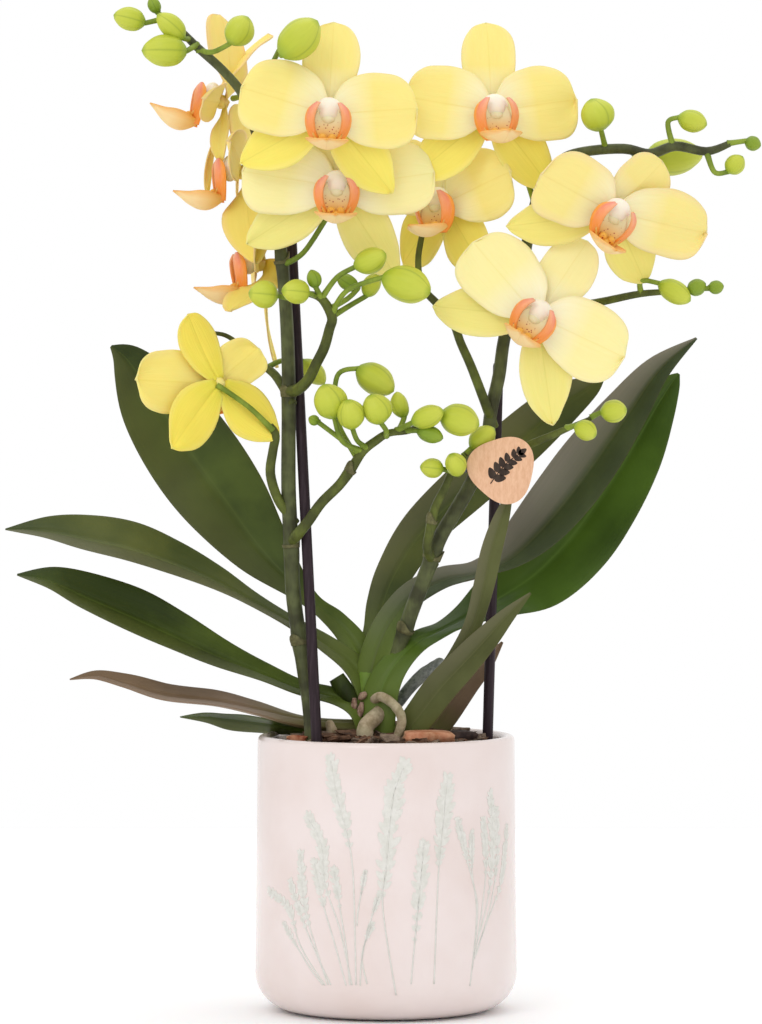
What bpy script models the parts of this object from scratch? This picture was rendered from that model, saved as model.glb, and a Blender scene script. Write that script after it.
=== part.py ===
"""Moth orchid in a glazed cachepot: plant, stakes, name tag, growing pot and bark.

Metres, +Z up.  The origin is the centre of the pot's flat base, and the plant's
best side faces -Y.  Tables of routes are in millimetres and are scaled by MM.
"""
import math

import bmesh
import bpy
from mathutils import Matrix, Vector

MM = 0.001
GAP = 0.35                      # clearance that a piece keeps to its neighbour, mm

# Glazed outer pot, mm.
POT_HEIGHT = 108.0
POT_RADIUS = 51.5
POT_TOP_RADIUS = 50.5
POT_WALL = 4.5
POT_CORNER = 15.0
POT_FLOOR = 6.0
POT_SIDES = 40

# Thin growing pot that lifts out, mm.
GROW_TOP_RADIUS = 44.5
GROW_BASE_RADIUS = 37.0
GROW_WALL = 1.0
GROW_LIP = 1.0
GROW_HEIGHT = 94.0
GROW_BASE_Z = POT_FLOOR + GAP
DRAIN_RADIUS = 3.5
DRAIN_RING = 20.0
DRAIN_COUNT = 6

# Bark mound, mm: radius and height of its turned top.
BARK_TOP = [(10.0, 105.5), (22.0, 104.0), (33.0, 101.5), (41.0, 98.0)]
BARK_BASE_Z = GROW_BASE_Z + GROW_WALL + GAP

# Card tag and the clip that holds it on the right spike, mm.
TAG_CENTRE = (45.0, 213.0)
TAG_FACE_Y = -29.5
TAG_THICKNESS = 0.8
TAG_CLIP_CENTRE = (35.5, -15.0, 212.0)
TAG_CLIP_REACH = 4.2
TAG_CLIP_WIRE = 0.8

STAKE_RADIUS = 2.1
STEM_SIDES = 6
PEDICEL_RADIUS = 1.0
LEAF_THICKNESS = 1.7
TEPAL_THICKNESS = 1.1

# Stem routes, mm: x, y, z, radius.
SPIKES = {
    "spike_left": [
        (-15, -13, 111, 3.0), (-22, -17, 109, 3.1), (-28, -18, 112, 3.1), (-32, -17, 135, 3.0),
        (-36, -17, 162, 3.0), (-37, -18, 183, 3.0), (-38, -18, 205, 2.9), (-38, -18, 228, 2.8),
        (-38, -18, 251, 2.7), (-39, -18, 275, 2.6), (-41, -18, 298, 2.5), (-44, -20, 321, 2.3),
        (-50, -24, 342, 2.1), (-55, -27, 357, 1.9), (-63, -29, 367, 1.8), (-73, -31, 376, 1.7),
        (-80, -32, 383, 1.4), (-86, -33, 388, 1.1)],
    "spike_right": [
        (3, -10, 136, 3.0), (6, -11, 145, 3.2), (11, -12, 160, 3.1), (16, -13, 173, 3.1),
        (21, -14, 186, 3.0), (28, -15, 198, 2.9), (34, -15, 209, 2.8), (39, -15, 222, 2.7),
        (41, -15, 236, 2.6), (44, -14, 249, 2.6), (46, -13, 263, 2.5), (50, -13, 279, 2.4),
        (54, -14, 296, 2.3), (57, -16, 312, 2.2), (61, -19, 325, 2.1), (68, -22, 333, 2.0),
        (77, -25, 336, 2.0), (92, -27, 337, 2.0), (102, -27, 335, 2.0), (112, -27, 338, 1.9),
        (124, -27, 336, 1.7), (133, -27, 339, 1.3)],
}

# Side branches: the spike that each grows from, and its route.
BRANCHES = {
    "branch_left_upper": ("spike_left", [
        (-38, -19, 243, 2.2), (-34, -24, 244, 2.3), (-30, -27, 248, 2.2), (-27, -28, 254, 2.1),
        (-24, -29, 260, 2.1), (-22, -30, 267, 2.0), (-21, -31, 272, 2.0), (-25, -33, 279, 1.7),
        (-31, -34, 281, 1.1)]),
    "branch_left_lower": ("spike_left", [
        (-37, -18, 184, 2.2), (-34, -24, 188, 2.2), (-30, -26, 193, 2.1), (-25, -27, 200, 2.0),
        (-18, -28, 207, 2.0), (-13, -30, 214, 1.9), (-9, -31, 220, 1.8), (-4, -32, 224, 1.7),
        (1, -33, 227, 1.5), (9, -34, 228, 1.3), (15, -34, 231, 1.1)]),
    "branch_left_low_twig": ("spike_left", [
        (-37, -18, 194, 1.9), (-42, -20, 201, 1.9), (-45, -21, 211, 1.9), (-44, -22, 220, 1.8),
        (-43, -23, 226, 1.6), (-47, -25, 231, 1.2), (-54, -27, 237, 1.1), (-61, -27, 242, 1.1)]),
    "branch_left_high_twig": ("spike_left", [
        (-38, -18, 241, 1.8), (-43, -12, 249, 1.8), (-48, -8, 253, 1.4), (-52, -6, 256, 1.2),
        (-57, -5, 261, 1.0), (-62, -5, 265, 0.9)]),
    "branch_right_upper": ("spike_right", [
        (41, -15, 232, 2.0), (38, -19, 240, 1.9), (33, -18, 253, 1.8), (29, -18, 262, 1.7),
        (26, -18, 270, 1.7), (21, -18, 277, 1.6), (16, -16, 284, 1.4), (16, -13, 294, 1.3),
        (18, -12, 304, 1.2)]),
    "branch_right_inner": ("spike_right", [
        (18, -14, 177, 2.0), (16, -20, 182, 1.9), (17, -22, 189, 1.8), (19, -23, 198, 1.7),
        (23, -24, 206, 1.6), (26, -25, 213, 1.4), (31, -25, 219, 1.1)]),
    "branch_right_front": ("spike_right", [
        (40, -15, 222, 1.7), (44, -20, 220, 1.7), (50, -22, 220, 1.7), (57, -24, 223, 1.6),
        (64, -28, 226, 1.5), (73, -31, 230, 1.1), (80, -32, 233, 0.9)]),
    "branch_right_outer": ("spike_right", [
        (50, -13, 275, 1.8), (60, -10, 275, 1.7), (72, -12, 276, 1.7), (84, -18, 278, 1.6),
        (99, -22, 281, 1.4), (114, -24, 282, 1.0), (121, -24, 283, 0.8)]),
}

# Buds, mm: the stem each grows on, its stalk's route, its tip and its radius.
BUDS = [
    ("spike_left", [(-85, -33, 387), (-93, -35, 385)], (-105, -37, 388), 4.4),
    ("spike_left", [(-73, -31, 377), (-77, -38, 374)], (-94, -42, 374), 6.0),
    ("spike_left", [(-76, -31, 379), (-78, -37, 379)], (-88, -41, 388), 4.2),
    ("spike_left", [(-85, -33, 387), (-88, -33, 389)], (-91, -33, 395), 2.4),
    ("spike_left", [(-73, -31, 375), (-67, -33, 374), (-60, -38, 377)], (-53, -41, 387), 5.6),
    ("spike_left", [(-53, -26, 351), (-44, -36, 369), (-39, -50, 377), (-40, -60, 371)], (-26, -63, 384), 7.0),
    ("branch_left_upper", [(-30, -34, 281), (-36, -34, 279), (-42, -36, 280)], (-53, -40, 281), 5.2),
    ("branch_left_upper", [(-27, -33, 280), (-30, -39, 281)], (-40, -45, 282), 4.6),
    ("branch_left_upper", [(-25, -33, 279), (-27, -38, 283)], (-29, -39, 290), 2.8),
    ("branch_left_upper", [(-25, -33, 279), (-19, -37, 287), (-12, -40, 291)], (0, -44, 296), 4.8),
    ("branch_left_upper", [(-21, -31, 273), (-15, -38, 282), (-1, -43, 287)], (17, -50, 281), 6.8),
    ("branch_left_upper", [(-22, -32, 275), (-15, -26, 279), (-11, -24, 283)], (-19, -22, 288), 3.0),
    ("branch_left_upper", [(-21, -31, 272), (-13, -25, 277), (-8, -23, 280)], (-3, -22, 289), 3.4),
    ("branch_left_lower", [(-9, -31, 220), (-17, -36, 224), (-20, -38, 233)], (-24, -41, 246), 6.4),
    ("branch_left_lower", [(-7, -31, 221), (-11, -37, 224), (-13, -41, 229)], (-15, -46, 240), 5.2),
    ("branch_left_lower", [(0, -33, 226), (0, -38, 228), (-2, -40, 231)], (-6, -44, 242), 5.6),
    ("branch_left_lower", [(-11, -30, 217), (-19, -26, 232), (-19, -24, 249), (-11, -24, 252)],
     (3, -26, 243), 5.8),
    ("branch_left_lower", [(5, -33, 228), (7, -28, 233)], (4, -25, 243), 3.4),
    ("branch_left_lower", [(4, -33, 228), (10, -40, 231)], (22, -43, 236), 4.2),
    ("branch_left_lower", [(8, -34, 228), (12, -38, 228)], (22, -40, 225), 3.2),
    ("branch_left_lower", [(14, -34, 230), (21, -36, 234)], (36, -38, 230), 6.0),
    ("branch_left_lower", [(-10, -31, 219), (-18, -31, 225), (-26, -32, 231)], (-30, -32, 233), 2.0),
    ("branch_left_high_twig", [(-47, -9, 252), (-41, -4, 255), (-33, -1, 255)], (-24, -1, 246), 4.0),
    ("spike_right", [(85, -26, 337), (83, -31, 344)], (79, -34, 356), 6.4),
    ("spike_right", [(111, -27, 338), (109, -28, 347), (113, -29, 349)], (124, -31, 346), 4.2),
    ("spike_right", [(124, -27, 336), (127, -28, 328), (132, -28, 328)], (138, -29, 334), 3.7),
    ("spike_right", [(132, -27, 339), (139, -27, 340)], (145, -28, 338), 2.8),
    ("spike_right", [(95, -27, 337), (97, -21, 334), (101, -16, 333)], (124, -8, 336), 7.0),
    ("branch_right_outer", [(99, -22, 281), (99, -22, 286), (106, -24, 285)], (118, -27, 278), 4.3),
    ("branch_right_outer", [(113, -24, 282), (117, -24, 282)], (124, -25, 285), 3.2),
    ("branch_right_outer", [(120, -24, 283), (125, -24, 283)], (131, -25, 284), 2.6),
    ("branch_right_front", [(70, -30, 229), (73, -35, 230)], (81, -38, 226), 3.8),
    ("branch_right_front", [(79, -32, 233), (83, -32, 235)], (93, -35, 236), 4.3),
    ("branch_right_inner", [(26, -25, 212), (22, -31, 213)], (13, -33, 214), 3.7),
    ("branch_right_inner", [(27, -25, 214), (28, -31, 211)], (25, -37, 219), 4.0),
    ("branch_right_inner", [(30, -25, 218), (33, -24, 221)], (42, -24, 229), 4.4),
]

# Leaves, mm: fold in degrees, then x, y, z, half width and roll in degrees.
LEAVES = {
    "leaf_left_1": (10, [
        (-8, 2, 146, 4.5, 20), (-20, 7, 156, 4.0, 20), (-33, 12, 165, 4.5, 10), (-49, 18, 180, 12, 5),
        (-64, 24, 200, 17.5, 0), (-78, 30, 219, 18.5, 0), (-92, 34, 239, 15.5, 5),
        (-103, 36, 255, 7.5, 10), (-110, 36, 261, 0.6, 10)]),
    "leaf_left_2": (18, [
        (-7, -2, 133, 5, 50), (-22, -4, 144, 5, 55), (-38, -6, 153, 6, 60), (-53, -7, 160, 9, 62),
        (-67, -8, 168, 14, 60), (-83, -9, 175, 17.5, 58), (-100, -10, 181, 18, 58),
        (-118, -10, 185, 14, 58), (-133, -10, 188, 8, 58), (-149, -10, 189, 0.6, 58)]),
    "leaf_left_3": (18, [
        (-7, -5, 120, 4.5, 45), (-18, -6, 122, 4.5, 50), (-34, -8, 126, 5, 55),
        (-48, -12, 132, 9, 56), (-65, -16, 139, 13.5, 55), (-82, -20, 147, 16, 55),
        (-99, -23, 156, 16, 55), (-117, -26, 163, 12.5, 55), (-130, -28, 169, 7.5, 55),
        (-143, -30, 172, 0.6, 55)]),
    "leaf_left_4": (14, [
        (-10, -4, 111, 3.5, 60), (-32, -8, 113, 4, 65), (-50, -16, 118, 7, 72),
        (-66, -24, 122, 9, 72), (-86, -32, 125, 9, 70), (-101, -36, 130, 6, 65),
        (-112, -38, 133, 3.5, 60), (-122, -40, 132, 0.5, 60)]),
    "leaf_left_5": (14, [
        (-10, 5, 111, 3.5, 60), (-26, 9, 110, 4, 65), (-39, 13, 111, 5, 70), (-51, 17, 112, 6, 70),
        (-62, 20, 113, 6, 70), (-72, 22, 114, 4, 65), (-82, 23, 113, 0.5, 60)]),
    "leaf_right_1": (14, [
        (-3, 7, 148, 5, -15), (-1, 13, 158, 6.5, -15), (4, 19, 171, 9, -20),
        (14, 25, 188, 12, -22), (32, 31, 206, 15, -22), (52, 37, 223, 15, -20),
        (70, 41, 237, 11, -15), (82, 43, 245, 5, -10), (88, 44, 251, 0.6, -10)]),
    "leaf_right_2": (22, [
        (-1, 0, 146, 5, -30), (4, 1, 156, 6, -30), (12, 3, 163, 6.5, -35), (23, 6, 168, 7, -50),
        (35, 9, 171, 8, -62), (47, 10, 177, 11, -48), (58, 10, 187, 14.5, -35),
        (70, 11, 201, 16, -30), (82, 12, 217, 15.5, -30), (95, 13, 235, 12, -30),
        (108, 14, 251, 6.5, -30), (123, 16, 264, 0.6, -30)]),
    "leaf_right_3": (10, [
        (0, -5, 124, 5, -30), (5, -5, 135, 5.5, -35), (13, -3, 144, 5.5, -45),
        (23, 1, 149, 6, -60), (33, 8, 154, 8, -50), (45, 16, 161, 12, -30),
        (59, 23, 170, 16.5, -15), (73, 27, 184, 18, -10), (85, 29, 200, 17, -8),
        (97, 31, 218, 14, -8), (107, 33, 235, 9, -8), (114, 34, 246, 4, -8),
        (117, 34, 250, 0.6, -8)]),
    "leaf_right_4": (10, [
        (11, -9, 114, 3, 0), (20, -11, 129, 3, 0), (28, -14, 141, 3.2, 0), (34, -17, 153, 3.6, 10),
        (38, -19, 168, 4.4, 15), (41, -21, 182, 4.4, 15), (45, -23, 195, 3.2, 15),
        (49, -25, 206, 0.5, 15)]),
    "leaf_right_5": (8, [
        (7, -14, 108, 5.5, -20), (13, -17, 116, 6.5, -20), (21, -20, 127, 6.8, -20),
        (30, -23, 137, 6.4, -20), (39, -26, 147, 5.2, -20), (47, -28, 156, 3.3, -20),
        (56, -30, 165, 0.5, -20)]),
    "leaf_right_6": (8, [
        (17, 8, 108, 6, -10), (23, 7, 117, 6.8, -10), (31, 7, 127, 5.6, -10),
        (39, 8, 135, 3.4, -10), (46, 9, 144, 0.5, -10)]),
}

# Short stem that the leaves clasp, mm: x, y, z, radius.
CROWN = [(-4, 0, 96, 7.5), (-4, 0, 104, 9.5), (-4, 0, 114, 9.0), (-4, 0, 126, 7.5),
         (-4, 1, 138, 6.5), (-4, 1, 148, 5.0), (-4, 1, 155, 3.0)]

# Aerial roots, mm: x, y, z, radius.
ROOTS = {
    "root_thick": [(-1, -9, 119, 3.0), (-4, -14, 116, 3.2), (-8, -18, 112, 3.3), (-8, -19, 106, 3.2)],
    "root_arched": [(-5, -10, 122, 1.9), (-2, -17, 124, 1.9), (3, -20, 121, 1.9), (6, -21, 116, 1.9),
                    (5, -20, 110, 1.8), (3, -20, 105.5, 1.8)],
    "root_silver": [(3, 2, 118, 2.2), (9, 1, 126, 2.4), (15, 1, 132, 2.5), (21, 1, 136, 2.2)],
    "root_silver_short": [(5, 3, 110, 1.8), (10, 2, 118, 1.8), (14, 2, 123, 1.5)],
    "root_stub": [(-21, -11, 105.2, 2.0), (-21, -11, 107.5, 2.1), (-22, -11, 109.5, 1.8)],
}

# Loose bark chips on the mound, mm: centre, half sizes, turn about Z in degrees.
CHIPS = {
    "bark_chip_front": ((16, -25, 105.5), (9, 5, 1.8), 12),
    "bark_chip_left": ((-34, -17, 103.6), (4, 3, 1.4), -20),
    "bark_chip_right": ((29, -11, 105.0), (5, 4, 1.5), 35),
}

# Flower plan, mm and degrees: angle from local +X, length, backward sweep, half width.
TEPALS = {
    "dorsal": (90, 35, 6, 10.8),
    "petal_right": (9, 35, 8, 14.5),
    "petal_left": (171, 35, 8, 14.5),
    "sepal_right": (-48, 39, 5, 9.5),
    "sepal_left": (-132, 39, 5, 9.5),
}
PETAL_OUTLINE = [(0.0, 0.09), (0.22, 0.62), (0.5, 0.98), (0.77, 0.94), (1.0, 0.35)]
SEPAL_OUTLINE = [(0.0, 0.12), (0.25, 0.80), (0.5, 1.0), (0.78, 0.76), (1.0, 0.08)]

# Open flowers, mm and degrees: centre, azimuth, elevation, roll, and tepals that differ
# from the plan in their first values.
FLOWERS = {
    "flower_01": ((-22, -52, 349), (0, -4, 3), {
        "petal_right": (7, 34), "petal_left": (166, 35), "sepal_left": (-148, 39)}),
    "flower_02": ((-19, -36, 322), (0, -6, 2), {
        "petal_right": (10, 38), "petal_left": (173, 37), "sepal_left": (-145, 42),
        "sepal_right": (-55, 43)}),
    "flower_03": ((41, -34, 351), (14, 2, 0), {"sepal_left": (-140, 39)}),
    "flower_04": ((87, -44, 312), (12, -18, 28), {
        "dorsal": (70, 27), "petal_right": (15, 39), "petal_left": (182, 32),
        "sepal_left": (-139, 40), "sepal_right": (-32, 36)}),
    "flower_05": ((58, -42, 272), (-4, 2, 33), {
        "petal_right": (8, 37), "petal_left": (164, 38), "sepal_left": (-153, 41),
        "sepal_right": (-49, 42)}),
    "flower_06": ((22, -16, 316), (-34, 0, -6), {
        "petal_right": (16, 32), "petal_left": (140, 33), "sepal_left": (-143, 34),
        "sepal_right": (-66, 33)}),
    "flower_07": ((-66, 2, 357), (-84, 4, -4), {
        "petal_left": (125, 30, 35), "petal_right": (8, 27, -14), "sepal_right": (-72, 33, -10)}),
    "flower_08": ((-58, 0, 329), (-84, 0, -4), {
        "petal_right": (20, 29, -14), "sepal_right": (-76, 30, -9), "sepal_left": (-125, 32, -6)}),
    "flower_09": ((-51, 8, 293), (-80, -2, -4), {
        "dorsal": (90, 33, 16), "petal_right": (25, 32, -18), "petal_left": (165, 32, 4),
        "sepal_right": (-60, 34, -10)}),
    "flower_10": ((-66, -24, 246), (-148, -8, 12), {
        "dorsal": (72, 30, 6, 8.5), "petal_right": (14, 38, 8, 12.5), "petal_left": (155, 26, 20, 11),
        "sepal_right": (-32, 38), "sepal_left": (-123, 29)}),
}

# Stalks of the open flowers, mm: the stem each grows on and the route to the flower's back.
FLOWER_STALKS = {
    "flower_01": ("spike_left", [(-49, -23, 337), (-38, -33, 343), (-27, -46, 347)]),
    "flower_02": ("spike_left", [(-41, -18, 292), (-32, -24, 297), (-22, -30, 312)]),
    "flower_03": ("spike_right", [(58, -16, 316), (52, -19, 332), (44, -25, 344)]),
    "flower_04": ("spike_right", [(71, -23, 334), (80, -31, 325), (85, -37, 316)]),
    "flower_05": ("spike_right", [(49, -13, 275), (53, -22, 276), (57, -33, 273)]),
    "flower_07": ("spike_left", [(-55, -27, 356), (-55, -14, 358), (-60, 1, 358)]),
    "flower_08": ("spike_left", [(-45, -21, 325), (-45, -10, 327), (-52, 0, 329)]),
    "flower_09": ("spike_left", [(-40, -18, 283), (-39, -5, 286), (-45, 7, 292)]),
}

COLOURS = {
    "pot": (0.90, 0.80, 0.77), "grow_pot": (0.05, 0.05, 0.05), "bark": (0.20, 0.12, 0.07),
    "chip": (0.36, 0.24, 0.15), "stake": (0.045, 0.03, 0.035), "tag": (0.84, 0.58, 0.42),
    "leaf": (0.06, 0.11, 0.03), "crown": (0.22, 0.30, 0.07), "spike": (0.11, 0.15, 0.05),
    "bud": (0.45, 0.55, 0.08), "root": (0.55, 0.48, 0.36), "petal": (0.92, 0.82, 0.38),
    "lip": (0.86, 0.50, 0.24),
}


def clear_scene():
    """Remove whatever objects the file opened with."""
    for old in list(bpy.data.objects):
        bpy.data.objects.remove(old, do_unlink=True)


def finish(name, colour, roughness=0.6):
    """One Principled material for a node."""
    mat = bpy.data.materials.new(name + "_finish")
    mat.use_nodes = True
    shader = mat.node_tree.nodes["Principled BSDF"]
    shader.inputs["Base Color"].default_value = (*COLOURS[colour], 1.0)
    shader.inputs["Roughness"].default_value = roughness
    shader.inputs["Metallic"].default_value = 0.0
    return mat


def add_node(name, bm, colour, roughness=0.6):
    """Turn a bmesh in millimetres into a named, smooth-shaded object in metres."""
    bmesh.ops.scale(bm, vec=(MM, MM, MM), verts=bm.verts)
    bmesh.ops.recalc_face_normals(bm, faces=bm.faces)
    mesh = bpy.data.meshes.new(name)
    bm.to_mesh(mesh)
    bm.free()
    mesh.shade_smooth()
    mesh.set_sharp_from_angle(angle=math.radians(40))
    mesh.materials.append(finish(name, colour, roughness))
    node = bpy.data.objects.new(name, mesh)
    bpy.context.collection.objects.link(node)
    return node


def add_tool(name, bm):
    """A hidden body that joins or cuts a node."""
    tool = add_node(name, bm, "stake")
    tool.hide_render = True
    tool.display_type = "WIRE"
    return tool


def boolean(node, tool, operation, joined=False):
    """Union or difference with a hidden body; joined also merges the node's own shells."""
    step = node.modifiers.new(operation.lower() + "_" + tool.name, "BOOLEAN")
    step.operation = operation
    step.object = tool
    step.solver = "EXACT"
    step.use_self = joined


def smooth_rows(rows, steps):
    """Points on a smooth curve through rows of any equal length."""
    result = []
    last = len(rows) - 1
    for i in range(last):
        a = rows[max(i - 1, 0)]
        b = rows[i]
        c = rows[i + 1]
        d = rows[min(i + 2, last)]
        for k in range(steps):
            t = k / steps
            result.append(tuple(
                0.5 * (2 * q + (r - p) * t + (2 * p - 5 * q + 4 * r - s) * t * t
                       + (3 * q - p - 3 * r + s) * t ** 3)
                for p, q, r, s in zip(a, b, c, d)))
    result.append(tuple(rows[last]))
    return result


def tangents(points):
    """Unit direction at each point of a route."""
    last = len(points) - 1
    return [(points[min(i + 1, last)] - points[max(i - 1, 0)]).normalized()
            for i in range(last + 1)]


def add_tube(bm, rows, sides=STEM_SIDES, growth=0.0):
    """A closed round skin along rows of x, y, z, radius."""
    points = [Vector(row[:3]) for row in rows]
    ways = tangents(points)
    across = ways[0].orthogonal().normalized()
    rings = []
    for point, way, row in zip(points, ways, rows):
        across = (across - way * across.dot(way)).normalized()
        beside = way.cross(across)
        ring = []
        for k in range(sides):
            turn = math.tau * k / sides
            spoke = across * math.cos(turn) + beside * math.sin(turn)
            ring.append(bm.verts.new(point + spoke * (row[3] + growth)))
        rings.append(ring)
    for lower, upper in zip(rings, rings[1:]):
        for k in range(sides):
            n = (k + 1) % sides
            bm.faces.new((lower[k], lower[n], upper[n], upper[k]))
    bm.faces.new(list(reversed(rings[0])))
    bm.faces.new(rings[-1])


def add_bud(bm, stalk, tip, radius):
    """A stalk that swells into a pointed bud, in one skin."""
    tip = Vector(tip)
    neck = Vector(stalk[-1])
    rows = [(*point, PEDICEL_RADIUS) for point in stalk]
    for part, width in ((0.1, 0.6), (0.35, 1.0), (0.65, 0.94), (0.9, 0.5), (1.0, 0.14)):
        rows.append((*neck.lerp(tip, part), radius * width))
    add_tube(bm, rows)


def add_lens(bm, grid, thickness):
    """A closed blade: a grid of points made thick inside and sharp all round its edge."""
    last_i = len(grid) - 1
    last_j = len(grid[0]) - 1
    front = []
    back = []
    for i, row in enumerate(grid):
        front_row = []
        back_row = []
        for j, point in enumerate(row):
            if i in (0, last_i) or j in (0, last_j):
                vert = bm.verts.new(point)
                front_row.append(vert)
                back_row.append(vert)
                continue
            along = grid[i + 1][j] - grid[i - 1][j]
            side = row[j + 1] - row[j - 1]
            offset = along.cross(side).normalized() * (thickness * 0.5)
            front_row.append(bm.verts.new(point + offset))
            back_row.append(bm.verts.new(point - offset))
        front.append(front_row)
        back.append(back_row)
    for i in range(last_i):
        for j in range(last_j):
            rising = (i < last_i / 2) == (j < last_j / 2)
            for sheet, flip in ((front, False), (back, True)):
                a, b = sheet[i][j], sheet[i][j + 1]
                c, d = sheet[i + 1][j + 1], sheet[i + 1][j]
                pair = ((a, b, c), (a, c, d)) if rising else ((a, b, d), (b, c, d))
                for face in pair:
                    bm.faces.new(tuple(reversed(face)) if flip else face)


def add_turned(bm, profile, sides):
    """A closed body from a profile that runs from the axis out and back to the axis."""
    verts = [bm.verts.new((radius, 0.0, height)) for radius, height in profile]
    edges = [bm.edges.new(pair) for pair in zip(verts, verts[1:])]
    bmesh.ops.spin(bm, geom=verts + edges, cent=(0, 0, 0), axis=(0, 0, 1),
                   angle=math.tau, steps=sides, use_merge=True)
    bmesh.ops.remove_doubles(bm, verts=bm.verts, dist=1e-4)


def build_pot():
    """The glazed outer pot: flat base, round foot, straight wall and soft rim."""
    arc = [(POT_RADIUS - POT_CORNER + POT_CORNER * math.sin(a), POT_CORNER - POT_CORNER * math.cos(a))
           for a in (math.radians(90 * k / 5) for k in range(6))]
    rim = POT_WALL / 2
    lip = [(POT_TOP_RADIUS - rim + rim * math.cos(a), POT_HEIGHT - rim + rim * math.sin(a))
           for a in (math.radians(180 * k / 4) for k in range(5))]
    inner = POT_RADIUS - POT_WALL
    profile = [(0.0, 0.0)] + arc + lip
    profile += [(inner, POT_CORNER + POT_WALL), (inner - 9.0, POT_FLOOR), (0.0, POT_FLOOR)]
    bm = bmesh.new()
    add_turned(bm, profile, POT_SIDES)
    add_node("ceramic_pot", bm, "pot", 0.25)


def build_grow_pot():
    """The thin plastic growing pot with drain holes in its floor."""
    top = GROW_BASE_Z + GROW_HEIGHT
    profile = [
        (0.0, GROW_BASE_Z), (GROW_BASE_RADIUS, GROW_BASE_Z), (GROW_TOP_RADIUS, top - 3.0),
        (GROW_TOP_RADIUS + GROW_LIP, top - 3.0), (GROW_TOP_RADIUS + GROW_LIP, top),
        (GROW_TOP_RADIUS - GROW_WALL, top), (GROW_TOP_RADIUS - GROW_WALL, top - 3.0),
        (GROW_BASE_RADIUS - GROW_WALL, GROW_BASE_Z + GROW_WALL), (0.0, GROW_BASE_Z + GROW_WALL)]
    bm = bmesh.new()
    add_turned(bm, profile, 32)
    pot = add_node("growing_pot", bm, "grow_pot", 0.5)
    drill = bmesh.new()
    for k in range(DRAIN_COUNT):
        turn = math.tau * k / DRAIN_COUNT
        place = Matrix.Translation((DRAIN_RING * math.cos(turn), DRAIN_RING * math.sin(turn), GROW_BASE_Z))
        bmesh.ops.create_cone(drill, cap_ends=True, segments=8, radius1=DRAIN_RADIUS,
                              radius2=DRAIN_RADIUS, depth=6.0, matrix=place)
    boolean(pot, add_tool("drain_drill", drill), "DIFFERENCE")


def grow_inner_radius(height):
    """Inner radius of the growing pot at a height, less the clearance."""
    part = (height - GROW_BASE_Z) / (GROW_HEIGHT - 3.0)
    outer = GROW_BASE_RADIUS + (GROW_TOP_RADIUS - GROW_BASE_RADIUS) * min(part, 1.0)
    return outer - GROW_WALL - GAP


def build_bark(stakes):
    """The bark fill with its mound, cut clear of the crown's foot and the stakes."""
    shoulder = BARK_TOP[-1][1]
    profile = [(0.0, BARK_BASE_Z), (grow_inner_radius(BARK_BASE_Z), BARK_BASE_Z)]
    profile += [(grow_inner_radius(shoulder - 1.0), shoulder - 1.0)]
    profile += list(reversed(BARK_TOP)) + [(0.0, BARK_TOP[0][1] + 0.3)]
    bm = bmesh.new()
    add_turned(bm, profile, 32)
    bark = add_node("bark_substrate", bm, "bark", 0.9)
    drill = bmesh.new()
    add_tube(drill, smooth_rows(CROWN, 2), sides=10, growth=GAP)
    for route in stakes.values():
        add_tube(drill, route, sides=8, growth=GAP)
    boolean(bark, add_tool("bark_drill", drill), "DIFFERENCE", joined=True)


def build_stakes():
    """Two dark support stakes that stand in the bark beside the spikes."""
    routes = {
        "stake_left": [(-25.6, -28.6, 80), (-27, -26, 108), (-38, -6, 322)],
        "stake_right": [(39.3, 1, 80), (40, 0, 108), (44, -6, 255)],
    }
    rows = {name: [(*point, STAKE_RADIUS) for point in route] for name, route in routes.items()}
    for name, route in rows.items():
        bm = bmesh.new()
        add_tube(bm, route, sides=8)
        add_node(name, bm, "stake", 0.5)
    return rows


def build_crown():
    """The short green stem that the leaf bases clasp."""
    bm = bmesh.new()
    add_tube(bm, smooth_rows(CROWN, 2), sides=10)
    add_node("crown_stem", bm, "crown", 0.5)
    tool = bmesh.new()
    add_tube(tool, smooth_rows(CROWN, 2), sides=10, growth=GAP)
    return add_tool("crown_clearance", tool)


def leaf_grid(fold, rows, columns=5):
    """Grid of points across a leaf: its rows run along the midrib."""
    points = [Vector(row[:3]) for row in rows]
    rise = math.sin(math.radians(fold))
    reach = math.cos(math.radians(fold))
    grid = []
    for point, way, row in zip(points, tangents(points), rows):
        flat = way.cross(Vector((0, 1, 0))).normalized()
        deep = way.cross(flat)
        roll = math.radians(row[4])
        across = flat * math.cos(roll) + deep * math.sin(roll)
        upper = way.cross(across)
        line = []
        for j in range(columns):
            s = 2.0 * j / (columns - 1) - 1.0
            line.append(point + across * (s * row[3] * reach) + upper * (abs(s) * row[3] * rise))
        grid.append(line)
    return grid


def build_leaves(crown_clearance):
    """Strap leaves, each cut clear of the crown."""
    for name, (fold, rows) in LEAVES.items():
        bm = bmesh.new()
        add_lens(bm, leaf_grid(fold, rows), LEAF_THICKNESS)
        leaf = add_node(name, bm, "leaf", 0.35)
        boolean(leaf, crown_clearance, "DIFFERENCE")


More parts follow.
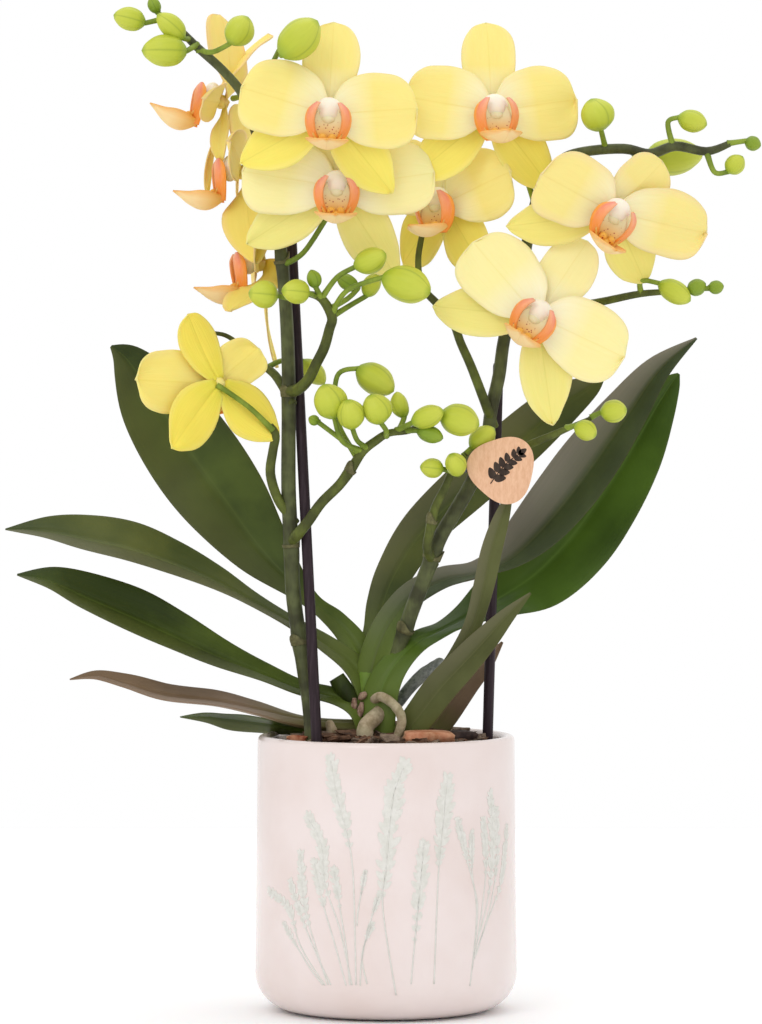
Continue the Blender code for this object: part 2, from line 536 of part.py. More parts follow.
def build_stems(crown_clearance):
    """Both spikes and their side branches, with buds and flower stalks grown on."""
    growths = {name: bmesh.new() for name in (*SPIKES, *BRANCHES)}
    grown = set()
    for stem, stalk, tip, radius in BUDS:
        add_bud(growths[stem], stalk, tip, radius)
        grown.add(stem)
    for stem, stalk in FLOWER_STALKS.values():
        add_tube(growths[stem], smooth_rows([(*point, PEDICEL_RADIUS) for point in stalk], 2))
        grown.add(stem)
    clearances = {}
    for name, route in SPIKES.items():
        bm = bmesh.new()
        add_tube(bm, route, sides=8)
        spike = add_node(name, bm, "spike")
        boolean(spike, add_tool(name + "_growths", growths.pop(name)), "UNION", joined=True)
        boolean(spike, crown_clearance, "DIFFERENCE")
        tool = bmesh.new()
        add_tube(tool, route, sides=8, growth=GAP)
        clearances[name] = add_tool(name + "_clearance", tool)
    for name, (parent, route) in BRANCHES.items():
        bm = bmesh.new()
        add_tube(bm, route)
        branch = add_node(name, bm, "spike")
        growth = growths.pop(name)
        if name in grown:
            boolean(branch, add_tool(name + "_growths", growth), "UNION", joined=True)
        else:
            growth.free()
        boolean(branch, clearances[parent], "DIFFERENCE")


def flower_frame(centre, facing):
    """Local frame of a flower: +Z to its dorsal sepal, looking along -Y."""
    azimuth, elevation, roll = (math.radians(v) for v in facing)
    turn = (Matrix.Rotation(azimuth, 4, "Z") @ Matrix.Rotation(-elevation, 4, "X")
            @ Matrix.Rotation(roll, 4, "Y"))
    return Matrix.Translation(centre) @ turn


def tepal_grid(angle, length, sweep, half_width, outline, depth, columns):
    """Grid of points across one tepal in the flower's frame."""
    way = Vector((math.cos(math.radians(angle)), 0.0, math.sin(math.radians(angle))))
    side = Vector((-way.z, 0.0, way.x))
    slope = math.tan(math.radians(sweep))
    grid = []
    for part, width in outline:
        run = 1.5 + (length - 1.5) * part
        middle = way * run + Vector((0.0, depth + slope * run * part, 0.0))
        line = []
        for j in range(columns):
            s = 2.0 * j / (columns - 1) - 1.0
            cup = Vector((0.0, 1.5 * s * s * width, 0.0))
            line.append(middle + side * (s * width * half_width) + cup)
        grid.append(line)
    return grid


def build_flower(name, centre, facing, changes):
    """One open flower: five tepals round a column, and a separate lip."""
    frame = flower_frame(centre, facing)
    tepals = bmesh.new()
    for part, plan in TEPALS.items():
        change = changes.get(part, ())
        angle, length, sweep, half_width = change + plan[len(change):]
        is_petal = part.startswith("petal")
        outline = PETAL_OUTLINE if is_petal else SEPAL_OUTLINE
        add_lens(tepals, tepal_grid(angle, length, sweep, half_width, outline,
                                    0.0 if is_petal else 1.6, 5 if is_petal else 3), TEPAL_THICKNESS)
    bmesh.ops.transform(tepals, matrix=frame, verts=tepals.verts)
    flower = add_node(name, tepals, "petal", 0.55)
    hub = bmesh.new()
    add_tube(hub, [(0, 2.9, -0.5, 1.6), (0, 2.0, 0, 3.1), (0, -1.5, 0.5, 3.2), (0, -5.0, 0.2, 2.4),
                   (0, -7.0, -1.2, 1.2)], sides=8)
    bmesh.ops.transform(hub, matrix=frame, verts=hub.verts)
    boolean(flower, add_tool(name + "_column", hub), "UNION", joined=True)
    return frame


def lip_grids():
    """Middle lobe and two upright side lobes of the lip, in the flower's frame."""
    middle = [[Vector((x * half, y, z)) for x in (-1, 0, 1)] for half, y, z in
              ((2.4, -4.0, -5.6), (4.6, -8.0, -8.6), (4.4, -11.0, -11.6), (0.5, -13.4, -14.2))]
    grids = [middle]
    for hand in (-1, 1):
        grids.append([[Vector((hand * (x - 0.6 * abs(s)), y + s * half, z)) for s in (-1, 0, 1)]
                      for half, x, y, z in ((1.6, 3.2, -6.0, -7.6), (3.4, 7.2, -6.6, -5.6),
                                            (3.4, 8.4, -7.2, 0.0), (0.8, 6.2, -8.2, 4.2))])
    return grids


def build_lip(name, frame):
    """The lip of one flower as its own body, in front of the tepals."""
    bm = bmesh.new()
    for grid in lip_grids():
        add_lens(bm, grid, 1.4)
    bmesh.ops.transform(bm, matrix=frame, verts=bm.verts)
    lip = add_node(name, bm, "lip", 0.45)
    root = bmesh.new()
    add_tube(root, [(-3.6, -6.4, -7.2, 1.5), (0.0, -6.2, -7.0, 1.9), (3.6, -6.4, -7.2, 1.5)], sides=6)
    bmesh.ops.transform(root, matrix=frame, verts=root.verts)
    boolean(lip, add_tool(name + "_root", root), "UNION", joined=True)


def build_flowers():
    """All open flowers."""
    for name, (centre, facing, changes) in FLOWERS.items():
        frame = build_flower(name, centre, facing, changes)
        build_lip(name + "_lip", frame)


def build_roots(crown_clearance):
    """Aerial roots that leave the crown and dive into the bark."""
    for name, route in ROOTS.items():
        bm = bmesh.new()
        add_tube(bm, smooth_rows(route, 2))
        root = add_node(name, bm, "root", 0.8)
        boolean(root, crown_clearance, "DIFFERENCE")


def build_chips():
    """Loose bark chips on the mound."""
    for name, (centre, half, turn) in CHIPS.items():
        bm = bmesh.new()
        place = (Matrix.Translation(centre) @ Matrix.Rotation(math.radians(turn), 4, "Z")
                 @ Matrix.Diagonal((half[0] * 2, half[1] * 2, half[2] * 2, 1.0)))
        bmesh.ops.create_cube(bm, size=1.0, matrix=place)
        bmesh.ops.bevel(bm, geom=bm.edges[:], offset=half[2] * 0.5, segments=1, affect="EDGES")
        add_node(name, bm, "chip", 0.9)


def build_tag():
    """The plain card tag, an egg-shaped plate on the right stake."""
    outline = []
    for k in range(20):
        turn = math.tau * k / 20
        radius = 12.8 + 1.6 * math.cos(3 * (turn - math.radians(48)))
        outline.append((TAG_CENTRE[0] + radius * math.cos(turn), TAG_CENTRE[1] + radius * math.sin(turn)))
    bm = bmesh.new()
    face = bm.faces.new([bm.verts.new((x, TAG_FACE_Y, z)) for x, z in outline])
    sheet = bmesh.ops.extrude_face_region(bm, geom=[face])
    moved = [v for v in sheet["geom"] if isinstance(v, bmesh.types.BMVert)]
    bmesh.ops.translate(bm, verts=moved, vec=(0, TAG_THICKNESS, 0))
    add_node("plant_tag", bm, "tag", 0.8)


def build_tag_clip():
    """The small plastic clip behind the card that grips the right spike."""
    middle = Vector(TAG_CLIP_CENTRE)
    jaw = []
    for k in range(9):
        turn = math.radians(120 - 30 * k) - math.radians(90)
        jaw.append((middle.x + TAG_CLIP_REACH * math.cos(turn), middle.y + TAG_CLIP_REACH * math.sin(turn),
                    middle.z, TAG_CLIP_WIRE))
    bm = bmesh.new()
    add_tube(bm, jaw)
    clip = add_node("tag_clip", bm, "grow_pot", 0.4)
    arm = bmesh.new()
    front = TAG_FACE_Y + TAG_THICKNESS + GAP
    add_tube(arm, [(middle.x, front, middle.z, TAG_CLIP_WIRE + 0.6),
                   (middle.x, middle.y - TAG_CLIP_REACH, middle.z, TAG_CLIP_WIRE)])
    boolean(clip, add_tool("tag_clip_arm", arm), "UNION")


def main():
    """Build every node."""
    clear_scene()
    build_pot()
    build_grow_pot()
    stakes = build_stakes()
    build_bark(stakes)
    crown_clearance = build_crown()
    build_leaves(crown_clearance)
    build_stems(crown_clearance)
    build_roots(crown_clearance)
    build_chips()
    build_flowers()
    build_tag()
    build_tag_clip()


main()
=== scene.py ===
"""Moth orchid in a glazed cachepot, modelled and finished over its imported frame.

Tables of places and sizes are in millimetres, and MM turns them to metres.  +Z is up,
the origin is the middle of the pot's base, and the plant's best side faces -Y.
"""
import logging
import math
import random
from collections.abc import Callable, Iterator, Sequence
from contextlib import contextmanager
from dataclasses import dataclass
from enum import Enum

import bmesh
import bpy
from mathutils import Matrix, Vector, noise


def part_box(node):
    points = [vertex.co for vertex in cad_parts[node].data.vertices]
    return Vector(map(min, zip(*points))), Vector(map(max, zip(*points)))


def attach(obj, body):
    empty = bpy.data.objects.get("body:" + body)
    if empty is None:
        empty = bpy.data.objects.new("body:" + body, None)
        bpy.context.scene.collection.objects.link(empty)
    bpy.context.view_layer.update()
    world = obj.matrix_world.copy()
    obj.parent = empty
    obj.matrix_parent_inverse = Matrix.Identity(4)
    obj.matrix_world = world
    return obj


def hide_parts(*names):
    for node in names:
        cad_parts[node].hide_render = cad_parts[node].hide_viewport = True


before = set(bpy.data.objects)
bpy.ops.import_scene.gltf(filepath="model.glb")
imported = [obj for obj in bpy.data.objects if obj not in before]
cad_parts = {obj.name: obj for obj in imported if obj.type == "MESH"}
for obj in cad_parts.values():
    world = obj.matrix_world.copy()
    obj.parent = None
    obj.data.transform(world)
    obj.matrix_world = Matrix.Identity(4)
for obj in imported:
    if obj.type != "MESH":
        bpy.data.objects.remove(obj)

LOG = logging.getLogger("orchid")
MM = 0.001
NEAR = 0.00001
DEPTHWISE = Vector((0.0, 1.0, 0.0))

Row = tuple[float, ...]
Shape = Callable[[float, float], Vector]
Stops = Sequence[tuple[float, str]]
Socket = bpy.types.NodeSocket


# --------------------------------------------------------------------------- materials


def linear(colour: str) -> tuple[float, float, float, float]:
    """Turns an sRGB hex colour to the linear values that a socket takes.

    Args:
        colour: Six hex digits after a hash.

    Returns:
        Linear red, green and blue, and an alpha of 1.
    """
    parts = [int(colour[i:i + 2], 16) / 255.0 for i in (1, 3, 5)]
    red, green, blue = (v / 12.92 if v <= 0.04045 else ((v + 0.055) / 1.055) ** 2.4 for v in parts)
    return red, green, blue, 1.0


def add_node(tree: bpy.types.NodeTree, kind: str, links: dict | None = None,
             stops: Stops = (), **settings: object) -> bpy.types.Node:
    """Adds one shader node with its settings and what goes into it.

    Args:
        tree: The material's or world's node tree.
        kind: Node type without its ShaderNode prefix.
        links: Socket name or number to a value, a hex colour or another node's output.
        stops: Places and hex colours of a colour ramp.
        **settings: Other properties of the node.

    Returns:
        The new node.
    """
    made = tree.nodes.new("ShaderNode" + kind)
    for key, value in settings.items():
        setattr(made, key, value)
    for key, value in (links or {}).items():
        if isinstance(value, bpy.types.NodeSocket):
            tree.links.new(value, made.inputs[key])
        elif isinstance(value, str):
            made.inputs[key].default_value = linear(value)
        else:
            made.inputs[key].default_value = value
    if stops:
        ramp = made.color_ramp
        while len(ramp.elements) < len(stops):
            ramp.elements.new(0.5)
        for element, (place, colour) in zip(ramp.elements, stops):
            element.position = place
            element.color = linear(colour)
    return made


BLACK = "#000000"
WHITE = "#FFFFFF"
WAX_IOR = 1.45
MADE: dict[str, bpy.types.Material] = {}


@dataclass
class Canvas:
    """One material while it is painted: its node tree and its Principled BSDF."""

    tree: bpy.types.NodeTree
    shader: bpy.types.Node

    def coordinates(self, kind: str) -> Socket:
        """Gives the Object coordinates, or the piece's own UV map."""
        return add_node(self.tree, "TexCoord").outputs[kind]

    def split(self, spot: Socket) -> tuple[Socket, Socket]:
        """Splits a place to its first two numbers."""
        parts = add_node(self.tree, "SeparateXYZ", {0: spot}).outputs
        return parts["X"], parts["Y"]

    def stretch(self, spot: Socket, *scale: float) -> Socket:
        """Scales a place along each of its three axes."""
        return add_node(self.tree, "Mapping", {"Vector": spot, "Scale": scale}).outputs[0]

    def noise(self, spot: Socket, scale: float, detail: float, **more: float) -> Socket:
        """Gives noise of a scale and a detail, with its other inputs by name."""
        inputs = {"Vector": spot, "Scale": scale, "Detail": detail, **more}
        return add_node(self.tree, "TexNoise", inputs).outputs["Fac"]

    def ramp(self, value: Socket, *stops: tuple[float, str]) -> Socket:
        """Turns a value to the colours of a ramp."""
        return add_node(self.tree, "ValToRGB", {"Fac": value}, stops=stops).outputs["Color"]

    def compute(self, operation: str, *values: Socket | float) -> Socket:
        """Works out one sum."""
        return add_node(self.tree, "Math", dict(enumerate(values)), operation=operation).outputs[0]

    def off_middle(self, value: Socket) -> Socket:
        """Gives how far a value lies from one half."""
        return self.compute("ABSOLUTE", self.compute("SUBTRACT", value, 0.5))

    def mix(self, mask: Socket, under: Socket, over: str) -> Socket:
        """Lays a colour over another where the mask is light."""
        inputs = {"Factor": mask, "A": under, "B": over}
        return add_node(self.tree, "Mix", inputs, data_type="RGBA").outputs["Result"]

    def overlay(self, under: Socket, over: str, value: Socket, *stops: tuple[float, str]) -> Socket:
        """Lays a colour over another by a value's ramp, whose white covers in full."""
        return self.mix(self.ramp(value, *stops), under, over)

    def apply(self, colour: Socket, height: Socket, depth: float, strength: float,
              **values: float) -> None:
        """Sends colour and relief to the shader and sets its other sockets.

        Args:
            colour: The base colour.
            height: The relief's height from 0 to 1.
            depth: Depth of the relief in metres.
            strength: Share of the relief that is applied.
            **values: The shader's own sockets, named with _ for each space.
        """
        bump = add_node(self.tree, "Bump", {"Height": height, "Distance": depth, "Strength": strength})
        self.tree.links.new(bump.outputs["Normal"], self.shader.inputs["Normal"])
        self.tree.links.new(colour, self.shader.inputs["Base Color"])
        for key, value in values.items():
            self.shader.inputs[key.replace("_", " ")].default_value = value


@dataclass(frozen=True)
class Finish:
    """A real surface, which each kind of finish paints with nodes."""

    name: str

    def make(self) -> bpy.types.Material:
        """Makes the material once and returns it.

        Returns:
            The material of this finish's name.
        """
        if self.name not in MADE:
            material = bpy.data.materials.new(self.name)
            material.use_nodes = True
            self.paint(Canvas(material.node_tree, material.node_tree.nodes["Principled BSDF"]))
            MADE[self.name] = material
        return MADE[self.name]

    def paint(self, canvas: Canvas) -> None:
        """Adds the nodes of this finish to a new material."""
        raise NotImplementedError


@dataclass(frozen=True)
class GlazedStoneware(Finish):
    """Slip-cast stoneware under a thick gloss glaze: soft clouds in the tint, sharp highlights."""

    name: str = "glazed_stoneware"
    tint: str = "#E6D9D6"
    cloud: str = "#DFCFCA"

    def paint(self, canvas: Canvas) -> None:
        """Paints pooled glaze clouds 40 mm across and a faint orange-peel ripple of 6 mm."""
        place = canvas.coordinates("Object")
        tint = canvas.ramp(canvas.noise(place, 25.0, 3.0), (0.34, self.cloud), (0.66, self.tint))
        canvas.apply(tint, canvas.noise(place, 160.0, 1.0), 0.00012, 0.35, Roughness=0.22, IOR=1.5,
                     Coat_Weight=0.3, Coat_Roughness=0.06, Specular_IOR_Level=0.35)


@dataclass(frozen=True)
class BareSlip(Finish):
    """Unglazed slip where the glaze was resisted: matt, chalky and a little greener."""

    name: str = "bare_slip"

    def paint(self, canvas: Canvas) -> None:
        """Paints chalky mottling about 2 mm across."""
        chalk = canvas.noise(canvas.coordinates("Object"), 500.0, 4.0)
        tint = canvas.ramp(chalk, (0.35, "#D2D1C9"), (0.65, "#DDDBD5"))
        canvas.apply(tint, chalk, 0.00008, 0.6, Roughness=0.78, IOR=1.5)


@dataclass(frozen=True)
class TepalTissue(Finish):
    """Living flower tissue: one colour at the claw, one in the blade and one at the edge."""

    name: str = "petal_tissue"
    claw: str = "#F7F1CE"
    blade: str = "#F3E287"
    margin: str = "#F3E29C"
    vein: str = "#E6CD66"
    claw_reach: float = 0.34

    def paint(self, canvas: Canvas) -> None:
        """Paints along and across the tepal's own map, with veins about 1 mm apart."""
        chart = canvas.coordinates("UV")
        across, along = canvas.split(chart)
        off_middle = canvas.off_middle(across)
        veins = canvas.noise(canvas.stretch(chart, 30.0, 3.2, 1.0), 1.0, 3.0, Distortion=0.4)
        tint = canvas.ramp(along, (0.0, self.claw), (self.claw_reach, self.blade),
                           (0.84, self.blade), (1.0, self.margin))
        tint = canvas.overlay(tint, self.margin, off_middle, (0.36, BLACK), (0.5, "#D8D8D8"))
        tint = canvas.overlay(tint, self.vein, veins, (0.46, BLACK), (0.72, "#5C5C5C"))
        tint = canvas.overlay(tint, self.vein, off_middle,
                              (0.0, "#A0A0A0"), (0.012, "#505050"), (0.035, BLACK))
        canvas.apply(tint, veins, 0.0004, 0.35, Roughness=0.6, IOR=1.4, Specular_IOR_Level=0.25,
                     Subsurface_Weight=0.12, Subsurface_Scale=0.002)


@dataclass(frozen=True)
class LobeTissue(Finish):
    """Waxy side lobe of the lip: orange outside and at its foot, flushed pink, a peach edge."""

    name: str = "lobe_tissue"
    outer: str = "#F2A44C"
    flush: str = "#E5887E"
    edge: str = "#F0B088"

    def paint(self, canvas: Canvas) -> None:
        """Paints across the lobe, with orange rising from its foot."""
        chart = canvas.coordinates("UV")
        across, along = canvas.split(chart)
        blush = canvas.noise(chart, 9.0, 2.0)
        tint = canvas.ramp(across, (0.0, self.outer), (0.25, self.outer), (0.5, self.flush),
                           (0.84, "#EFA98C"), (1.0, self.edge))
        tint = canvas.overlay(tint, "#F0902E", along, (0.3, "#F8F8F8"), (0.6, "#C4C4C4"), (0.95, BLACK))
        tint = canvas.overlay(tint, "#F9C7A6", blush, (0.45, BLACK), (0.75, "#707070"))
        canvas.apply(tint, blush, 0.0002, 0.4, Roughness=0.38, IOR=WAX_IOR, Specular_IOR_Level=0.3,
                     Subsurface_Weight=0.1, Subsurface_Scale=0.001)


@dataclass(frozen=True)
class SpottedTissue(Finish):
    """Waxy lip tissue with rust-red dots about half a millimetre wide."""

    ground: str
    tip: str
    dots: str
    amount: float

    def paint(self, canvas: Canvas) -> None:
        """Paints the ground from foot to tip along the map, and dots by a cell pattern."""
        along = canvas.split(canvas.coordinates("UV"))[1]
        cells = add_node(canvas.tree, "TexVoronoi", {"Vector": canvas.coordinates("Object"),
                                                     "Scale": 780.0}).outputs["Distance"]
        near = canvas.ramp(cells, (self.amount, WHITE), (self.amount + 0.08, BLACK))
        fade = canvas.ramp(along, (0.45, WHITE), (0.7, BLACK))
        tint = canvas.mix(canvas.compute("MULTIPLY", near, fade),
                          canvas.ramp(along, (0.22, self.ground), (0.72, self.tip)), self.dots)
        canvas.apply(tint, cells, 0.0002, 0.3, Roughness=0.35, IOR=WAX_IOR, Specular_IOR_Level=0.3)


@dataclass(frozen=True)
class CloudedTissue(Finish):
    """A soft surface with one colour clouding into another, by a noise scale."""

    light: str
    dark: str
    scale: float
    roughness: float = 0.42

    def paint(self, canvas: Canvas) -> None:
        """Paints clouds by noise on the object's own place."""
        clouds = canvas.noise(canvas.coordinates("Object"), self.scale, 3.0)
        tint = canvas.ramp(clouds, (0.4, self.light), (0.72, self.dark))
        canvas.apply(tint, clouds, 0.0002, 0.3, Roughness=self.roughness, IOR=WAX_IOR,
                     Specular_IOR_Level=0.25, Subsurface_Weight=0.1, Subsurface_Scale=0.002)


@dataclass(frozen=True)
class BudTissue(Finish):
    """Closed sepals of a bud: fresh green at the neck, yellower to the tip, with dark seams."""

    name: str = "bud_tissue"
    neck: str = "#84A02A"
    cheek: str = "#B6C03C"
    tip: str = "#C4CA4C"
    seam: str = "#849634"

    def paint(self, canvas: Canvas) -> None:
        """Paints from neck to tip along the map, and three seams round it."""
        chart = canvas.coordinates("UV")
        turn, along = canvas.split(chart)
        third = canvas.compute("FRACT", canvas.compute("MULTIPLY", turn, 3.0))
        veins = canvas.noise(canvas.stretch(chart, 34.0, 4.0, 1.0), 1.0, 2.0)
        tint = canvas.ramp(along, (0.05, self.neck), (0.36, self.cheek), (0.8, self.tip), (0.97, self.neck))
        tint = canvas.overlay(tint, self.seam, canvas.off_middle(third),
                              (0.0, "#C0C0C0"), (0.045, "#404040"), (0.09, BLACK))
        tint = canvas.overlay(tint, self.neck, veins, (0.45, BLACK), (0.75, "#606060"))
        canvas.apply(tint, veins, 0.0002, 0.3, Roughness=0.42, IOR=WAX_IOR, Specular_IOR_Level=0.3)


@dataclass(frozen=True)
class StemSkin(Finish):
    """Waxy stem skin, freckled darker in streaks along the stem."""

    name: str = "spike_skin"
    light: str = "#5B613D"
    dark: str = "#3E402A"
    freckle: str = "#30271F"

    def paint(self, canvas: Canvas) -> None:
        """Paints clouds of 8 mm and freckles of 1 mm, four times as long as wide."""
        place = canvas.coordinates("Object")
        freckles = canvas.noise(canvas.stretch(place, 1.0, 1.0, 0.25), 1000.0, 3.0)
        tint = canvas.ramp(canvas.noise(place, 120.0, 2.0), (0.36, self.dark), (0.64, self.light))
        tint = canvas.overlay(tint, self.freckle, freckles, (0.5, BLACK), (0.72, "#909090"))
        canvas.apply(tint, freckles, 0.0002, 0.5, Roughness=0.48, IOR=WAX_IOR, Specular_IOR_Level=0.2)


@dataclass(frozen=True)
class LeafSkin(Finish):
    """Leathery leaf: a pale midrib, fine parallel veins, and a painted sheen, a grey reflection, on its
    right half.
    """

    name: str = "leaf_upper"
    dark: str = "#2A360E"
    light: str = "#4B5A20"
    base: str = "#67792F"
    rib: str = "#56642A"
    edge: str = "#4A4A26"
    # colour of the painted sheen, a reflection laid on the leaf's right half
    painted_sheen: str = "#50552C"
    roughness: float = 0.38

    def paint(self, canvas: Canvas) -> None:
        """Paints along and across the leaf's own map, with veins a millimetre apart."""
        chart = canvas.coordinates("UV")
        across, along = canvas.split(chart)
        off_middle = canvas.off_middle(across)
        clouds = canvas.noise(canvas.coordinates("Object"), 32.0, 4.0)
        veins = canvas.noise(canvas.stretch(chart, 34.0, 2.5, 1.0), 1.0, 2.0)
        # Painted sheen: a grey reflection over the right half of the leaf, fading in from its base.
        half = canvas.ramp(across, (0.50, BLACK), (0.60, "#A8A8A8"), (0.9, "#D8D8D8"))
        grey = canvas.ramp(along, (0.12, BLACK), (0.5, WHITE))
        tint = canvas.ramp(clouds, (0.34, self.dark), (0.66, self.light))
        tint = canvas.overlay(tint, self.base, along, (0.06, WHITE), (0.34, BLACK))
        tint = canvas.overlay(tint, self.rib, off_middle,
                              (0.0, "#B0B0B0"), (0.022, "#585858"), (0.05, BLACK))
        tint = canvas.overlay(tint, self.edge, off_middle, (0.46, BLACK), (0.5, "#A0A0A0"))
        tint = canvas.mix(canvas.compute("MULTIPLY", half, grey), tint, self.painted_sheen)
        tint = canvas.overlay(tint, self.light, veins, (0.42, BLACK), (0.75, "#5C5C5C"))
        canvas.apply(tint, veins, 0.0002, 0.25, Roughness=self.roughness, IOR=WAX_IOR,
                     Specular_IOR_Level=0.22)


@dataclass(frozen=True)
class RoughSkin(Finish):
    """Dry or corky skin: two colours in coarse mottling over a pitted surface."""

    name: str = "root_velamen"
    light: str = "#BBAA90"
    dark: str = "#8E7F62"
    patch: str = "#9AA07A"
    scale: float = 260.0
    depth: float = 0.0004
    roughness: float = 0.8

    def paint(self, canvas: Canvas) -> None:
        """Paints mottling, larger patches and a pitted relief."""
        place = canvas.coordinates("Object")
        mottle = canvas.noise(place, self.scale, 5.0, Roughness=0.65)
        patches = canvas.noise(place, self.scale * 0.25, 2.0)
        tint = canvas.ramp(mottle, (0.36, self.dark), (0.62, self.light))
        tint = canvas.overlay(tint, self.patch, patches, (0.5, BLACK), (0.7, "#B0B0B0"))
        canvas.apply(tint, mottle, self.depth, 0.7, Roughness=self.roughness, IOR=WAX_IOR,
                     Specular_IOR_Level=0.25)


@dataclass(frozen=True)
class MouldedPlastic(Finish):
    """Moulded or extruded plastic: one body colour with drag lines and light scuffs."""

    name: str = "extruded_stake_plastic"
    body: str = "#2C2126"
    scuff: str = "#3C3036"
    roughness: float = 0.42

    def paint(self, canvas: Canvas) -> None:
        """Paints drag lines along Z about a millimetre apart."""
        drag = canvas.noise(canvas.stretch(canvas.coordinates("Object"), 1.0, 1.0, 0.04), 900.0, 3.0)
        tint = canvas.ramp(drag, (0.45, self.body), (0.75, self.scuff))
        canvas.apply(tint, drag, 0.0001, 0.2, Roughness=self.roughness, IOR=1.49,
                     Specular_IOR_Level=0.15)


@dataclass(frozen=True)
class KraftCard(Finish):
    """Uncoated kraft card: matt, with pressed fibres a few millimetres long."""

    name: str = "kraft_card"
    paper: str = "#E6BA98"
    fibre: str = "#D3A07C"

    def paint(self, canvas: Canvas) -> None:
        """Paints upright fibres over the card."""
        grain = canvas.stretch(canvas.coordinates("Object"), 1.0, 1.0, 0.3)
        fibres = canvas.noise(grain, 900.0, 5.0, Roughness=0.7)
        tint = canvas.ramp(fibres, (0.25, self.fibre), (0.6, self.paper))
        canvas.apply(tint, fibres, 0.0001, 0.5, Roughness=0.88, IOR=WAX_IOR)


# --------------------------------------------------------------------------- modelling


def smooth_rows(rows: Sequence[Row], steps: int) -> list[Row]:
    """Draws a smooth curve through rows of any equal length.

    Args:
        rows: Values that the curve goes through.
        steps: New rows for each old one.

    Returns:
        The rows of the smooth curve, ends included.
    """
    result: list[Row] = []
    last = len(rows) - 1
    for i in range(last):
        a, b, c, d = (rows[max(i - 1, 0)], rows[i], rows[i + 1], rows[min(i + 2, last)])
        for k in range(steps):
            t = k / steps
            result.append(tuple(
                0.5 * (2 * q + (r - p) * t + (2 * p - 5 * q + 4 * r - s) * t * t
                       + (3 * q - p - 3 * r + s) * t ** 3)
                for p, q, r, s in zip(a, b, c, d)))
    result.append(tuple(rows[last]))
    return result


def directions(points: Sequence[Vector]) -> list[Vector]:
    """Gives the unit direction at each point of a route."""
    last = len(points) - 1
    return [(points[min(i + 1, last)] - points[max(i - 1, 0)]).normalized() for i in range(last + 1)]


def seed_of(name: str) -> int:
    """Gives a whole number that belongs to a name."""
    return sum(map(ord, name))


def round_end(rows: Sequence[Row], parts: Sequence[float]) -> list[Row]:
    """Rounds off the end of a route of places and radii.

    Args:
        rows: The route, up to where the rounding starts.
        parts: Places in the rounded end, as shares of its radius.

    Returns:
        The route with its rounded end.
    """
    end, before = Vector(rows[-1][:3]), Vector(rows[-2][:3])
    way = (end - before).normalized()
    radius = rows[-1][3]
    cap = ((*(end + way * radius * part), radius * math.sqrt(1.0 - part * part)) for part in parts)
    return [*rows, *cap]


def width_at(outline: Sequence[tuple[float, float]], part: float) -> float:
    """Reads a smooth outline.

    Args:
        outline: Places from 0 to 1 and the width at each.
        part: Place to read, from 0 to 1.

    Returns:
        The width there, never below zero.
    """
    last = len(outline) - 1
    i = max(k for k in range(last) if outline[k][0] <= part or k == 0)
    (x0, y0), (x1, y1) = outline[i], outline[i + 1]
    span = x1 - x0
    before, after = outline[max(i - 1, 0)], outline[min(i + 2, last)]
    m0 = (y1 - before[1]) / (x1 - before[0]) * span
    m1 = (after[1] - y0) / (after[0] - x0) * span
    t = (part - x0) / span
    value = ((2 * t ** 3 - 3 * t * t + 1) * y0 + (t ** 3 - 2 * t * t + t) * m0
             + (3 * t * t - 2 * t ** 3) * y1 + (t ** 3 - t * t) * m1)
    return max(value, 0.0)


def clear_selection() -> None:
    """Deselects everything, the frame's own nodes among it."""
    bpy.ops.object.select_all(action="DESELECT")


def take(name: str) -> bpy.types.Object:
    """Names the active object and its mesh, and returns it."""
    piece = bpy.context.view_layer.objects.active
    piece.name = name
    piece.data.name = name
    return piece


def choose(*pieces: bpy.types.Object) -> None:
    """Selects only these objects and makes the first one active."""
    clear_selection()
    for piece in pieces:
        piece.select_set(True)
    bpy.context.view_layer.objects.active = pieces[0]


@contextmanager
def editing(piece: bpy.types.Object, mode: str = "FACE") -> Iterator[None]:
    """Opens an object in edit mode with nothing selected, and closes it after.

    Args:
        piece: The mesh object to edit.
        mode: What is selected: VERT, EDGE or FACE.

    Yields:
        Nothing.
    """
    choose(piece)
    bpy.ops.object.mode_set(mode="EDIT")
    bpy.ops.mesh.select_mode(type=mode)
    bpy.ops.mesh.select_all(action="DESELECT")
    yield
    bpy.ops.object.mode_set(mode="OBJECT")


def pick(piece: bpy.types.Object, kind: str, test: Callable[[object], bool]) -> None:
    """Selects in edit mode the faces, edges or verts that pass a test.

    Args:
        piece: The object that is open in edit mode.
        kind: "faces", "edges" or "verts".
        test: Says of one of them whether it is wanted.
    """
    bpy.ops.mesh.select_all(action="DESELECT")
    mesh = bmesh.from_edit_mesh(piece.data)
    for item in getattr(mesh, kind):
        if test(item):
            item.select_set(True)
    mesh.select_flush_mode()
    bmesh.update_edit_mesh(piece.data)


def settle(piece: bpy.types.Object) -> None:
    """Puts an object's place, turn and size into its mesh."""
    choose(piece)
    bpy.ops.object.transform_apply(location=True, rotation=True, scale=True)


def soften(piece: bpy.types.Object) -> bpy.types.Object:
    """Shades an object smooth and returns it."""
    choose(piece)
    bpy.ops.object.shade_smooth()
    return piece


def modify(piece: bpy.types.Object, kind: str, **settings: object) -> None:
    """Adds a modifier with its settings and applies it.

    Args:
        piece: The object to change.
        kind: The modifier's type.
        **settings: The modifier's properties.
    """
    choose(piece)
    bpy.ops.object.modifier_add(type=kind)
    modifier = piece.modifiers[-1]
    for key, value in settings.items():
        setattr(modifier, key, value)
    bpy.ops.object.modifier_apply(modifier=modifier.name)


def face_outwards() -> None:
    """Turns every face outwards, in edit mode."""
    bpy.ops.mesh.select_all(action="SELECT")
    bpy.ops.mesh.normals_make_consistent(inside=False)


